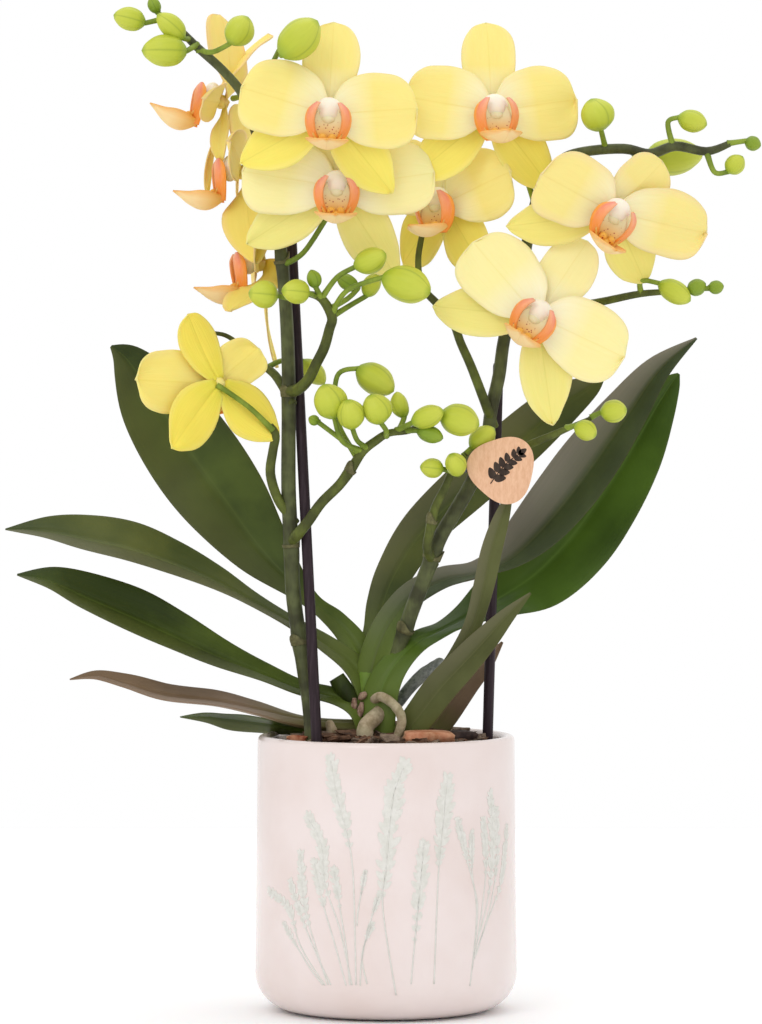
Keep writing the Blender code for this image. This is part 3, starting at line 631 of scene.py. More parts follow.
def weld(piece: bpy.types.Object, distance: float = 0.00002) -> None:
    """Merges doubled points and turns every face outwards."""
    with editing(piece, "VERT"):
        bpy.ops.mesh.select_all(action="SELECT")
        bpy.ops.mesh.remove_doubles(threshold=distance)
        face_outwards()


def sheet(name: str, columns: int, rows: int, shape: Shape,
          chart: Callable[[float, float], tuple[float, float]] | None = None) -> bpy.types.Object:
    """Adds a grid and bends it to a surface, with its map kept along and across.

    Args:
        name: Name of the new object.
        columns: Faces across.
        rows: Faces along.
        shape: Gives the place in metres of a point, each way from 0 to 1.
        chart: Gives the map's place of the same point; the same values if left out.

    Returns:
        The new object, smooth shaded.
    """
    clear_selection()
    bpy.ops.mesh.primitive_grid_add(x_subdivisions=columns, y_subdivisions=rows, size=1.0)
    piece = take(name)
    mesh = piece.data
    spots = [(vert.co.x + 0.5, vert.co.y + 0.5) for vert in mesh.vertices]
    for vert, spot in zip(mesh.vertices, spots):
        vert.co = shape(*spot)
    layer = mesh.uv_layers.active or mesh.uv_layers.new(name="UVMap")
    for loop in mesh.loops:
        spot = spots[loop.vertex_index]
        layer.data[loop.index].uv = chart(*spot) if chart else spot
    return soften(piece)


def thicken(piece: bpy.types.Object, thickness: float, lining: int = 0) -> bpy.types.Object:
    """Gives a sheet its thickness, half on each side.

    Args:
        piece: The open sheet.
        thickness: Thickness in metres.
        lining: How many material slots further the back's finish is.

    Returns:
        The same object.
    """
    modify(piece, "SOLIDIFY", thickness=thickness, offset=0.0, material_offset=lining)
    return soften(piece)


def tube(name: str, rows: Sequence[Row], fineness: int = 3) -> bpy.types.Object:
    """Skins a route with a round section, as a curve that is then made a mesh.

    Args:
        name: Name of the new object.
        rows: Places and radius in millimetres.
        fineness: Bevel resolution of the round section.

    Returns:
        The new closed mesh object, smooth shaded.
    """
    clear_selection()
    bpy.ops.curve.primitive_nurbs_path_add()
    path = bpy.context.view_layer.objects.active
    path.data.splines.clear()
    line = path.data.splines.new("POLY")
    line.points.add(len(rows) - 1)
    for point, row in zip(line.points, rows):
        point.co = (row[0] * MM, row[1] * MM, row[2] * MM, 1.0)
        point.radius = row[3]
    path.data.bevel_depth = MM
    path.data.bevel_resolution = fineness
    path.data.use_fill_caps = True
    bpy.ops.object.convert(target="MESH")
    piece = take(name)
    weld(piece, 0.000005)
    return soften(piece)


def cylinder(name: str, sides: int, radius: float, low: float, high: float) -> bpy.types.Object:
    """Adds an upright cylinder round the middle.

    Args:
        name: Name of the new object.
        sides: Faces round it.
        radius: Its radius in mm.
        low: Height of its foot in mm.
        high: Height of its top in mm.

    Returns:
        The new object, with its place in its mesh.
    """
    clear_selection()
    bpy.ops.mesh.primitive_cylinder_add(
        vertices=sides, radius=radius * MM, depth=(high - low) * MM,
        location=(0.0, 0.0, (high + low) * MM / 2), end_fill_type="NGON")
    piece = take(name)
    settle(piece)
    return piece


def ball(name: str, centre: Vector, segments: int, rings: int,
         scale: Row = (1.0, 1.0, 1.0)) -> bpy.types.Object:
    """Adds a sphere of 1 mm radius, to be shaped further.

    Args:
        name: Name of the new object.
        centre: Its middle in mm.
        segments: Faces round it.
        rings: Faces from pole to pole.
        scale: How much larger it is each way.

    Returns:
        The new object.
    """
    clear_selection()
    bpy.ops.mesh.primitive_uv_sphere_add(segments=segments, ring_count=rings, radius=MM,
                                         location=centre * MM, scale=scale)
    return take(name)


def flat_leaf(name: str, outline: int, foot: float, loss: float, front: float,
              depth: float) -> bpy.types.Object:
    """Models one leaf shape 1 mm long that stands on its foot, to be sized and repeated.

    Args:
        name: Name of the new object.
        outline: Corners of its outline.
        foot: Its share of a circle's width at the foot.
        loss: How much of that share is gone at the tip.
        front: Where its front lies, in mm.
        depth: Its thickness in mm.

    Returns:
        The closed leaf.
    """
    clear_selection()
    bpy.ops.mesh.primitive_circle_add(vertices=outline, radius=0.5 * MM, fill_type="NGON",
                                      location=(0.0, 0.0, 0.5 * MM), rotation=(math.pi / 2, 0.0, 0.0))
    piece = take(name)
    settle(piece)
    for vert in piece.data.vertices:
        vert.co.x *= foot - loss * vert.co.z / MM
        vert.co.y = front * MM
    with editing(piece):
        bpy.ops.mesh.select_all(action="SELECT")
        bpy.ops.mesh.extrude_region_move(TRANSFORM_OT_translate={"value": (0.0, depth * MM, 0.0)})
        face_outwards()
    return piece


def join(name: str, parts: Sequence[bpy.types.Object]) -> bpy.types.Object:
    """Joins several objects in one, which keeps all their finishes.

    Args:
        name: Name of the joined object.
        parts: The objects, at least one.

    Returns:
        The joined object.
    """
    choose(*parts)
    if len(parts) > 1:
        bpy.ops.object.join()
    return take(name)


def scatter(name: str, pattern: bpy.types.Object, places: Sequence[Matrix]) -> bpy.types.Object:
    """Copies a small model to many places, joins the copies and removes the model.

    Args:
        name: Name of the new object.
        pattern: The model to repeat.
        places: Where each copy goes.

    Returns:
        The joined copies.
    """
    whole = bmesh.new()
    for place in places:
        start = len(whole.verts)
        whole.from_mesh(pattern.data)
        whole.verts.ensure_lookup_table()
        bmesh.ops.transform(whole, matrix=place, verts=whole.verts[start:])
    copies = pattern.copy()
    copies.data = pattern.data.copy()
    whole.to_mesh(copies.data)
    whole.free()
    bpy.context.collection.objects.link(copies)
    bpy.data.objects.remove(pattern, do_unlink=True)
    choose(copies)
    return take(name)


def paint(piece: bpy.types.Object, *finishes: Finish) -> bpy.types.Object:
    """Gives an object its finishes, one for each material slot, and returns it."""
    piece.data.materials.clear()
    for finish in finishes:
        piece.data.materials.append(finish.make())
    return piece


def install(piece: bpy.types.Object, slot: str, *nodes: str) -> None:
    """Makes a finished object a piece of the model, and logs it.

    Args:
        piece: The finished object, in place.
        slot: Material slot of the record that its finish stands for; not used.
        *nodes: Frame nodes that it stands for.
    """
    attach(piece, "root")
    if nodes:
        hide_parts(*nodes)
    LOG.info("%s: %d faces", piece.name, len(piece.data.polygons))


# --------------------------------------------------------------------------- pot and bark


@dataclass(frozen=True)
class Sprig:
    """A flowering sprig on the pot's wall: where it stands and how it is dressed."""

    route: tuple[tuple[float, float], ...]      # degrees round from the front, height in mm
    bloom: float                                # share of the route that carries florets
    width: float                                # widest floret pair, mm


SPRIGS = (
    Sprig(((-24.8, 100.7), (-21.5, 86.2), (-17.0, 72.8), (-14.3, 55.6), (-13.0, 15.1)), 0.42, 7.5),
    Sprig(((7.6, 98.7), (2.9, 86.5), (-0.1, 59.6), (-1.4, 44.2), (4.2, 11.4)), 0.62, 9.5),
    Sprig(((27.5, 92.9), (25.6, 78.3), (23.2, 58.4), (20.9, 15.3)), 0.46, 8.4),
    Sprig(((16.4, 68.6), (14.6, 51.7), (12.0, 28.7), (10.7, 15.6)), 0.74, 6.6),
    Sprig(((-35.8, 78.3), (-29.2, 68.6), (-27.2, 53.2), (-20.2, 36.1), (-14.8, 15.1)), 0.52, 6.8),
    Sprig(((-40.2, 63.8), (-38.0, 45.0), (-32.2, 29.8), (-25.8, 14.7)), 0.60, 5.6),
    Sprig(((-62.3, 48.7), (-47.5, 43.2), (-40.3, 29.3), (-27.2, 14.6)), 0.55, 4.8),
    Sprig(((33.0, 77.7), (37.8, 62.4), (43.0, 42.7), (38.9, 13.6)), 0.30, 4.2),
    Sprig(((40.6, 72.3), (40.6, 56.4), (43.6, 42.7), (40.2, 20.0)), 0.30, 3.8),
    Sprig(((52.8, 86.3), (54.3, 69.1), (51.4, 49.9), (43.6, 31.1)), 0.72, 6.4),
    Sprig(((67.3, 72.1), (61.1, 53.1), (48.7, 36.5), (42.4, 25.3)), 0.60, 5.4),
    Sprig(((57.5, 80.0), (57.6, 62.0), (53.0, 46.0), (44.2, 29.0)), 0.55, 5.0),
    Sprig(((47.6, 77.0), (49.2, 60.0), (46.8, 45.0), (41.6, 24.0)), 0.45, 4.4),
    Sprig(((-46.0, 53.0), (-38.5, 38.5), (-31.0, 25.5), (-24.4, 14.8)), 0.50, 4.6),
    Sprig(((-23.0, 58.5), (-19.8, 42.0), (-17.2, 28.0), (-15.8, 15.0)), 0.36, 5.0),
    Sprig(((-32.6, 61.0), (-28.0, 45.0), (-22.4, 30.0), (-17.4, 14.8)), 0.42, 5.0),
    Sprig(((-50.0, 36.5), (-42.0, 28.5), (-34.5, 20.5), (-28.2, 14.6)), 0.40, 3.6),
    Sprig(((-3.4, 49.0), (-8.0, 36.0), (-10.6, 24.0), (-11.2, 15.0)), 0.26, 3.0),
    Sprig(((-9.1, 58.3), (-12.1, 44.1), (-12.6, 38.0)), 0.5, 2.8),
    Sprig(((-6.1, 38.4), (-10.4, 26.8), (-8.2, 15.6)), 0.34, 3.4),
)

FLORET_LEANS = (-42.0, -16.0, 14.0, 40.0)       # a whorl's florets, in degrees from the stem


@dataclass
class Cachepot:
    """The slip-cast outer pot, with sprigs left bare in its glaze, in millimetres."""

    height: float = 108.0
    radius: float = 51.5
    top_radius: float = 50.5
    wall: float = 4.5
    corner: float = 15.0
    inner_corner: float = 8.0
    floor: float = 6.0
    sides: int = 160
    stem_width: float = 0.55
    sprig_proud: float = 0.14
    sprig_sunk: float = 0.5

    def outer_radius(self, height: float) -> float:
        """Gives the wall's outer radius in mm at a height in mm."""
        part = max(0.0, (height - self.corner) / (self.height - self.corner))
        return self.radius + (self.top_radius - self.radius) * min(part, 1.0)

    def build(self) -> None:
        """Builds the pot's body and the sprigs on it."""
        install(self.body(), "pot_glaze", "ceramic_pot")
        install(self.sprigs(), "pot_glaze")

    def body(self) -> bpy.types.Object:
        """Turns a cylinder into the pot: rounded foot, hollow inside, soft rim.

        Returns:
            The pot's body.
        """
        piece = cylinder("cachepot", self.sides, self.radius, 0.0, self.height)
        top = self.height * MM
        inside = (self.radius - self.wall) * MM
        with editing(piece):
            pick(piece, "faces", lambda f: f.normal.z > 0.9)
            bpy.ops.mesh.inset(thickness=self.wall * MM)
            bpy.ops.mesh.extrude_region_move(
                TRANSFORM_OT_translate={"value": (0.0, 0.0, (self.floor - self.height) * MM)})
            bpy.ops.mesh.select_mode(type="EDGE")
            pick(piece, "edges", lambda e: all(v.co.z < NEAR for v in e.verts))
            bpy.ops.mesh.bevel(offset=self.corner * MM, segments=10, profile=0.5, affect="EDGES")
            pick(piece, "edges", lambda e: all(
                abs(v.co.z - self.floor * MM) < NEAR and abs(v.co.xy.length - inside) < 0.1 * MM
                for v in e.verts))
            bpy.ops.mesh.bevel(offset=self.inner_corner * MM, segments=6, profile=0.5, affect="EDGES")
            pick(piece, "edges", lambda e: all(v.co.z > top - NEAR for v in e.verts)
                 and abs(e.verts[0].co.xy.length - e.verts[1].co.xy.length) < NEAR)
            bpy.ops.mesh.bevel(offset=self.wall * 0.46 * MM, segments=5, profile=0.5, affect="EDGES")
        for vert in piece.data.vertices:
            part = self.outer_radius(vert.co.z / MM) / self.radius
            vert.co.x *= part
            vert.co.y *= part
        return paint(soften(piece), GlazedStoneware())

    def sprigs(self) -> bpy.types.Object:
        """Lays florets and stems flat beside each other, then bends them round the wall.

        Returns:
            All sprigs in one object, front and back.
        """
        places: list[Matrix] = []
        stems: list[bpy.types.Object] = []
        per_degree = math.radians(self.radius)
        for half in (0.0, 180.0):
            for number, sprig in enumerate(SPRIGS):
                rows = smooth_rows([((a + half) * per_degree, z) for a, z in sprig.route], 12)
                stems.append(self.stem(rows, f"stem_{number}"))
                places += self.florets(rows, sprig, number)
        floret = flat_leaf("floret", 10, 0.625, 0.275, -self.sprig_proud,
                           self.sprig_proud + self.sprig_sunk)
        whole = join("cachepot_sprigs", [scatter("florets", floret, places), *stems])
        for vert in whole.data.vertices:
            turn = vert.co.x / (self.radius * MM)
            radius = self.outer_radius(vert.co.z / MM) * MM - vert.co.y
            vert.co.x = radius * math.sin(turn)
            vert.co.y = -radius * math.cos(turn)
        weld(whole, 0.000001)
        return paint(whole, BareSlip())

    def stem(self, rows: Sequence[Row], name: str) -> bpy.types.Object:
        """Lays one flat stem along a sprig's route."""
        points = [Vector((x * MM, 0.0, z * MM)) for x, z in rows]
        ways = directions(points)
        last = len(points) - 1

        def place(across: float, along: float) -> Vector:
            i = round(along * last)
            off = (across - 0.5) * self.stem_width * MM
            return points[i] + Vector((-ways[i].z, 0.0, ways[i].x)) * off

        piece = thicken(sheet(name, 1, last, place), (self.sprig_proud + self.sprig_sunk) * MM)
        for vert in piece.data.vertices:
            vert.co.y += (self.sprig_sunk - self.sprig_proud) / 2 * MM
        return piece

    @staticmethod
    def florets(rows: Sequence[Row], sprig: Sprig, seed: int) -> list[Matrix]:
        """Sets out whorls of florets down the flowering part of a sprig.

        Args:
            rows: Smooth route from tip to foot, flat, in mm.
            sprig: The sprig they belong to.
            seed: Makes each sprig's unevenness its own.

        Returns:
            The place of each floret.
        """
        chance = random.Random(seed)
        places: list[Matrix] = []
        points = [Vector((x, 0.0, z)) for x, z in rows]
        last = len(points) - 1
        run, due = 0.0, 0.0
        whole = sum((b - a).length for a, b in zip(points, points[1:])) * sprig.bloom
        for i in range(last):
            step = points[i] - points[i + 1]
            run += step.length
            if run < due or run > whole:
                continue
            due = run + sprig.width * chance.uniform(0.24, 0.36)
            part = run / whole
            size = sprig.width * (0.35 + 0.65 * math.sin(math.pi * min(part * 0.9 + 0.12, 1.0)) ** 0.7)
            lean = math.atan2(step.x, step.z)
            for side in FLORET_LEANS:
                turn = lean + math.radians(side + chance.uniform(-9.0, 9.0))
                length = size * 0.7 * chance.uniform(0.8, 1.12)
                places.append(Matrix.Translation(points[i] * MM) @ Matrix.Rotation(turn, 4, "Y")
                              @ Matrix.Diagonal((length * 0.95, 1.0, length, 1.0)))
        return places


# The three large chips: half length, width and height in mm, turn in degrees, and finish.
LARGE_CHIPS = {
    "bark_chip_front": ((9.6, 5.4, 2.4), 12.0,
                        RoughSkin("cut_bark", "#C9A886", "#9A6A48", "#B5472C", 240.0)),
    "bark_chip_left": ((4.2, 3.2, 1.8), -20.0,
                       RoughSkin("red_bark", "#B98A6A", "#8A4A32", "#A03F2C", 300.0)),
    "bark_chip_right": ((5.4, 4.2, 1.9), 35.0,
                        RoughSkin("dark_bark", "#4A3A34", "#2A201E", "#3A2C28", 300.0)),
}
BARK_HEAPS = (RoughSkin("brown_bark", "#7A5A44", "#3E2C24", "#5A4234", 320.0, 0.0006, 0.9),
              RoughSkin("grey_bark", "#8C7A68", "#54443A", "#6C5A4C", 320.0, 0.0006, 0.9))
MOUND_BARK = RoughSkin("composted_bark", "#5C4636", "#2E221C", "#463428", 300.0, 0.001, 0.95)


@dataclass
class BarkFill:
    """Orchid bark in the growing pot: a rough mound and loose chips, in millimetres."""

    radius: float = 42.6
    foot_share: float = 0.84
    rings: int = 13
    foot: float = 8.0
    shoulder: float = 104.5
    crest: float = 109.0
    chips: int = 150
    chip_size: Row = (4.4, 3.0, 1.3)
    chip_edge: float = 0.12
    chip_sink: float = 0.2
    rim_gap: float = 6.0
    chip_lift: float = 3.4
    seed: int = 11

    def build(self) -> None:
        """Builds the mound, the scattered chips and the three large chips."""
        install(self.mound(), "bark", "bark_substrate")
        install(self.scattered(), "bark_chips")
        for name, (size, turn, finish) in LARGE_CHIPS.items():
            install(self.large_chip(name, size, turn, finish), "bark_chips", name)

    def height(self, x: float, y: float) -> float:
        """Gives the mound's height in mm at a place in mm."""
        part = min(math.hypot(x, y) / self.radius, 1.0)
        rough = noise.noise(Vector((x, y, 0.0)) * 0.16) * 2.2
        rough += noise.noise(Vector((x, y, 5.0)) * 0.5) * 0.8
        return self.crest + (self.shoulder - self.crest) * part ** 2.2 + rough

    def mound(self) -> bpy.types.Object:
        """Raises the top of a cylinder to a rough mound."""
        piece = cylinder("bark_mound", 72, self.radius, self.foot, self.shoulder)
        with editing(piece):
            pick(piece, "faces", lambda f: f.normal.z > 0.9)
            for _ in range(self.rings):
                bpy.ops.mesh.inset(thickness=self.radius * MM / (self.rings + 1))
        top = self.shoulder * MM
        for vert in piece.data.vertices:
            if vert.co.z > top - NEAR:
                vert.co.z = self.height(vert.co.x / MM, vert.co.y / MM) * MM
            else:
                vert.co.x *= self.foot_share
                vert.co.y *= self.foot_share
        return paint(soften(piece), MOUND_BARK)

    def chip(self, name: str, size: Vector, seed: int) -> bpy.types.Object:
        """Breaks a block to one rough chip.

        Args:
            name: Name of the chip.
            size: Half its length, width and height in mm.
            seed: Makes its shape its own.

        Returns:
            The chip at the origin.
        """
        clear_selection()
        bpy.ops.mesh.primitive_cube_add(size=2.0 * MM)
        piece = take(name)
        with editing(piece):
            bpy.ops.mesh.select_all(action="SELECT")
            bpy.ops.mesh.subdivide(number_cuts=1)
            bpy.ops.mesh.bevel(offset=self.chip_edge * MM, segments=1, affect="EDGES")
        for vert in piece.data.vertices:
            spot = vert.co / MM
            shake = (noise.noise(spot * 1.7 + Vector((seed * 3.1 + k * 7.0, seed, k))) for k in range(3))
            spot += Vector(shake) * 0.45
            vert.co = Vector((spot.x * size.x, spot.y * size.y, spot.z * size.z)) * MM
        return piece

    def scattered(self) -> bpy.types.Object:
        """Strews loose chips over the mound, clear of the rim."""
        chance = random.Random(self.seed)
        heaps = []
        for heap, finish in enumerate(BARK_HEAPS):
            places = []
            for _ in range(self.chips // len(BARK_HEAPS)):
                reach = (self.radius - self.rim_gap) * math.sqrt(chance.random())
                turn = chance.uniform(0.0, math.tau)
                x, y = reach * math.cos(turn), reach * math.sin(turn)
                places.append(
                    Matrix.Translation(Vector((x, y, self.height(x, y) - self.chip_sink)) * MM)
                    @ Matrix.Rotation(chance.uniform(0.0, math.tau), 4, "Z")
                    @ Matrix.Rotation(chance.uniform(-0.5, 0.5), 4, "X")
                    @ Matrix.Diagonal((*(chance.uniform(0.6, 1.25) for _ in range(3)), 1.0)))
            chip = self.chip(f"chip_{heap}", Vector(self.chip_size), heap + 4)
            heaps.append(paint(scatter(f"heap_{heap}", chip, places), finish))
        return join("bark_loose_chips", heaps)

    def large_chip(self, name: str, size: Row, turn: float, finish: Finish) -> bpy.types.Object:
        """Places one large chip where its frame node lies, lifted on the scattered ones.

        Args:
            name: The frame node that it stands for.
            size: Half its length, width and height in mm.
            turn: Degrees that it is turned.
            finish: Its finish.

        Returns:
            The chip in place.
        """
        low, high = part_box(name)
        piece = self.chip(name + "_piece", Vector(size), len(name))
        modify(piece, "SUBSURF", levels=1, render_levels=1)
        piece.location = (Vector(low) + Vector(high)) / 2 + Vector((0.0, 0.0, self.chip_lift)) * MM
        piece.rotation_euler = (0.0, 0.0, math.radians(turn))
        settle(piece)
        return paint(soften(piece), finish)


# --------------------------------------------------------------------------- stems and buds

SPIKE_SKIN = StemSkin()
TWIG_SKIN = StemSkin("twig_skin", "#616A2E", "#434823", "#392F22")
STALK_SKIN = StemSkin("stalk_skin", "#8B9E3C", "#6A7E2C", "#585F28")
BUD_SKIN = BudTissue()
GREEN_BUD_SKIN = BudTissue("young_bud_tissue", "#5C7620", "#7B9428", "#8AA032", "#54691E")
BRACT_SKIN = RoughSkin("dry_bract", "#6E6B47", "#4E4B31", "#5F5D3C", 420.0, 0.0002, 0.7)

# A bud's width from its neck to its tip, as a share of its largest.
BUD_SIDES = ((0.0, 0.30), (0.08, 0.58), (0.2, 0.86), (0.36, 1.0), (0.55, 1.02), (0.72, 0.88),
             (0.86, 0.60), (0.95, 0.32), (1.0, 0.0))
BUD_NUMBERS = 50    # a bud's stalk is numbered from here on, after the flowers' stalks


@dataclass(frozen=True)
class Bud:
    """A closed bud on its stalk, in millimetres."""

    stalk: tuple[Row, ...]
    tip: Row
    radius: float


@dataclass
class Stem:
    """A flower spike or side branch with everything that grows on it, in millimetres."""

    name: str
    route: Sequence[Row]
    skin: Finish
    buds: Sequence[Bud] = ()
    stalks: Sequence[Sequence[Row]] = ()
    joints: Sequence[float] = ()
    stalk_radius: float = 1.0
    young: float = 3.3
    swelling: float = 0.14
    swell_reach: float = 2.4
    bract_thickness: float = 0.25
    seat: float = 0.12

    def build(self) -> None:
        """Builds the stem with its bracts, and its buds and stalks."""
        rows = self.swollen(smooth_rows(self.route, 5))
        stem = [paint(tube(self.name + "_skin", rows), self.skin)]
        stem += [self.bract(rows, height, k) for k, height in enumerate(self.joints)]
        install(join(self.name + "_stem", stem), "flower_stem", self.name)
        growths = []
        for k, bud in enumerate(self.buds):
            growths += self.bud(bud, k)
        for k, stalk in enumerate(self.stalks):
            growths.append(self.stalk([(*point, self.stalk_radius) for point in stalk], k))
        if growths:
            install(join(self.name + "_growths", growths), "flower_stem", self.name)

    def swollen(self, rows: Sequence[Row]) -> list[Row]:
        """Thickens a route by its joints, where bracts sit."""
        result = []
        for x, y, z, radius in rows:
            near = min((abs(z - joint) for joint in self.joints), default=99.0)
            swell = 1.0 + self.swelling * math.exp(-(near / self.swell_reach) ** 2)
            result.append((x, y, z, radius * swell))
        return result

    def bract(self, rows: Sequence[Row], height: float, number: int) -> bpy.types.Object:
        """Wraps a dry bract round the stem at a joint.

        Args:
            rows: The stem's smooth route.
            height: Height of the joint in mm.
            number: Counts the bracts of a stem.

        Returns:
            A thin pointed sheath, open at its top.
        """
        at = min(range(1, len(rows) - 1), key=lambda i: abs(rows[i][2] - height))
        middle = Vector(rows[at][:3])
        way = (Vector(rows[at + 1][:3]) - Vector(rows[at - 1][:3])).normalized()
        flat = way.cross(DEPTHWISE).normalized()
        deep = way.cross(flat)
        radius = rows[at][3]
        facing = 0.9 + 2.4 * (number % 2)

        def place(across: float, along: float) -> Vector:
            turn = math.tau * across
            reach = 1.3 + 3.4 * max(0.0, math.cos(turn - facing)) ** 2
            out = radius + 0.05 + 0.3 * along
            spoke = flat * math.cos(turn) + deep * math.sin(turn)
            return (middle + way * (reach * along - 0.8) + spoke * out) * MM

        piece = sheet(f"bract_{number}", 18, 3, place)
        weld(piece)
        return paint(thicken(piece, self.bract_thickness * MM), BRACT_SKIN)

    def stalk(self, rows: Sequence[Row], number: int) -> bpy.types.Object:
        """Skins one stalk, a little thicker where it starts and ends."""
        smooth = smooth_rows(rows, 8)
        last = len(smooth) - 1
        shaped = []
        for i, (*place, radius) in enumerate(smooth):
            swell = 1.0 + 0.45 * math.exp(-i / 3.0) + 0.25 * math.exp((i - last) / 3.0)
            shaped.append((*place, radius * swell))
        return paint(tube(f"stalk_{number}", shaped), STALK_SKIN)

    def bud(self, bud: Bud, number: int) -> list[bpy.types.Object]:
        """Shapes a sphere to a bud and adds its stalk.

        Args:
            bud: Where it grows and how large it is.
            number: Counts the buds of a stem.

        Returns:
            The bud's body and its stalk.
        """
        neck, tip = Vector(bud.stalk[-1]), Vector(bud.tip)
        axis = (tip - neck).normalized()
        length = (tip - neck).length
        turned = axis.to_track_quat("Z", "Y").to_matrix()
        piece = ball(f"bud_{number}", (neck + tip) / 2, 36, 20)
        for vert in piece.data.vertices:
            spot = vert.co / MM
            part = (spot.z + 1.0) / 2.0
            turn = math.atan2(spot.y, spot.x)
            seam = abs(((turn / math.tau * 3.0) % 1.0) - 0.5)
            groove = 0.07 * math.exp(-(seam / 0.07) ** 2)
            swell = 1.0 + 0.05 * math.cos(3.0 * turn + math.pi) - groove
            radius = bud.radius * width_at(BUD_SIDES, part) * (swell if 0.03 < part < 0.99 else 1.0)
            out = spot.xy.normalized() if spot.xy.length > 1e-4 else Vector((0.0, 0.0))
            bend = 0.05 * length * math.sin(math.pi * part)
            local = Vector((out.x * radius + bend, out.y * radius, (part - 0.5) * length))
            vert.co = turned @ local * MM
        settle(piece)
        skin = GREEN_BUD_SKIN if bud.radius <= self.young else BUD_SKIN
        rows = [(*point, self.stalk_radius) for point in bud.stalk]
        rows.append((*neck.lerp(tip, self.seat), self.stalk_radius * 1.25))
        return [paint(soften(piece), skin), self.stalk(rows, number + BUD_NUMBERS)]


# --------------------------------------------------------------------------- leaves and roots


class LeafTone(Enum):
    """How a leaf has grown and aged: its upper and lower finish, each with a painted sheen as its sixth
    colour.
    """

    GREEN = (
        LeafSkin(),
        LeafSkin("leaf_under", "#444C22", "#5A622E", "#6C8030", "#6E7840", "#54562E", "#6A6848", 0.5))
    FRESH = (
        LeafSkin("fresh_leaf_upper", "#33490F", "#48631C", "#5E6F2C", "#64803A", "#4E5A28", "#4E6428"),
        LeafSkin("fresh_leaf_under", "#3E501C", "#4E6024", "#6C8030", "#6E7840",
                 "#54562E", "#5C5A3C", 0.5))
    MOSSY = (
        LeafSkin("mossy_leaf_upper", "#38431A", "#535A28", "#5E6E2C", "#5E6830",
                 "#54562E", "#666549", 0.42),
        LeafSkin("mossy_leaf_under", "#444C22", "#5A622E", "#6C8030", "#6E7840",
                 "#54562E", "#6A6848", 0.5))
    DUSKY = (
        LeafSkin("dusky_leaf_upper", "#2C3818", "#43502A", "#5E6E2C", "#5C5E40",
                 "#5A5440", "#8E877C", 0.42),
        LeafSkin("dusky_leaf_under", "#524F3A", "#686450", "#6A7C34", "#706C56",
                 "#5A5440", "#8C8478", 0.5))
    BRONZE = (
        LeafSkin("bronze_leaf_upper", "#66523C", "#806A54", "#6A6A38", "#8A745C",
                 "#7A6450", "#88725E", 0.5),
        LeafSkin("bronze_leaf_under", "#6C5844", "#84705A", "#6A6A38", "#8A745C",
                 "#7A6450", "#88725E", 0.55))
    OLIVE = (
        LeafSkin("olive_leaf_upper", "#424620", "#5A5E34", "#535A2A", "#686840",
                 "#645A3E", "#66634A", 0.5),
        LeafSkin("olive_leaf_under", "#4C4E2A", "#62623C", "#535A2A", "#686840",
                 "#645A3E", "#66634A", 0.55))


@dataclass
class Leaf:
    """A strap leaf along its midrib: x, y, z, half width and roll, in mm and degrees."""

    name: str
    fold: float
    rows: Sequence[Row]
    tone: LeafTone
    base_thickness: float = 7.5
    blade_thickness: float = 1.5
    base_fade: float = 6.0
    groove: float = 0.55
    sides: int = 40

    def build(self) -> None:
        """Rolls a grid round the leaf's lens-shaped section and closes it."""
        rows = smooth_rows(self.rows, 8)
        points = [Vector(row[:3]) for row in rows]
        axes = [self.section(way, row[4]) for way, row in zip(directions(points), rows)]
        last = len(rows) - 1
        rise, reach = math.sin(math.radians(self.fold)), math.cos(math.radians(self.fold))
        seed = seed_of(self.name)

        def place(across: float, along: float) -> Vector:
            i = round(along * last)
            side, upper = axes[i]
            turn = math.tau * across
            s = math.cos(turn)
            half = max(rows[i][3], 0.2)
            extra = (self.base_thickness - self.blade_thickness) * math.exp(-along * self.base_fade)
            thick = (self.blade_thickness + extra) * min(1.0, half / 4.0) * 0.5
            wave = noise.noise(Vector((s * 0.7, along * 5.0, seed))) * 0.9 * min(1.0, half / 9.0) * abs(s)
            groove = self.groove * math.exp(-(s / 0.06) ** 2) * min(1.0, half / 6.0)
            groove *= 1.0 if math.sin(turn) > 0 else -0.7
            lift = abs(s) ** 1.5 * half * rise + wave - groove
            lift += thick * math.sin(turn) * (1.0 - 0.3 * s * s)
            return (points[i] + side * (s * half * reach) + upper * lift) * MM

        def chart(across: float, along: float) -> tuple[float, float]:
            return (math.cos(math.tau * across) + 1.0) / 2.0, along

        piece = sheet(self.name + "_blade", self.sides, last, place, chart)
        with editing(piece, "VERT"):
            bpy.ops.mesh.select_all(action="SELECT")
            bpy.ops.mesh.remove_doubles(threshold=NEAR)
            bpy.ops.mesh.select_mode(type="EDGE")
            pick(piece, "edges", lambda e: e.is_boundary)
            bpy.ops.mesh.fill_holes(sides=0)
            face_outwards()
        paint(piece, *self.tone.value)
        for face in piece.data.polygons:
            middle = face.center / MM
            i = min(range(len(points)), key=lambda k: (points[k] - middle).length_squared)
            face.material_index = 0 if face.normal.dot(axes[i][1]) > 0 else 1
        install(soften(piece), "leaf", self.name)

    @staticmethod
    def section(way: Vector, roll: float) -> tuple[Vector, Vector]:
        """Turns the leaf's section round its midrib.

        Args:
            way: The midrib's direction.
            roll: Degrees that the section is rolled.

        Returns:
            The directions to its right edge and out of its upper side.
        """
        flat = way.cross(DEPTHWISE).normalized()
        side = flat * math.cos(math.radians(roll)) + way.cross(flat) * math.sin(math.radians(roll))
        return side, way.cross(side)


CROWN_SKIN = CloudedTissue("crown_skin", "#6C8630", "#55701F", 90.0, 0.45)
STUB_SKIN = StemSkin("cut_leaf_skin", "#3F4C1C", "#27310F")
SCAR_SKIN = RoughSkin("dry_leaf_scar", "#A98F7C", "#6E4E40", "#7E6A48", 500.0)


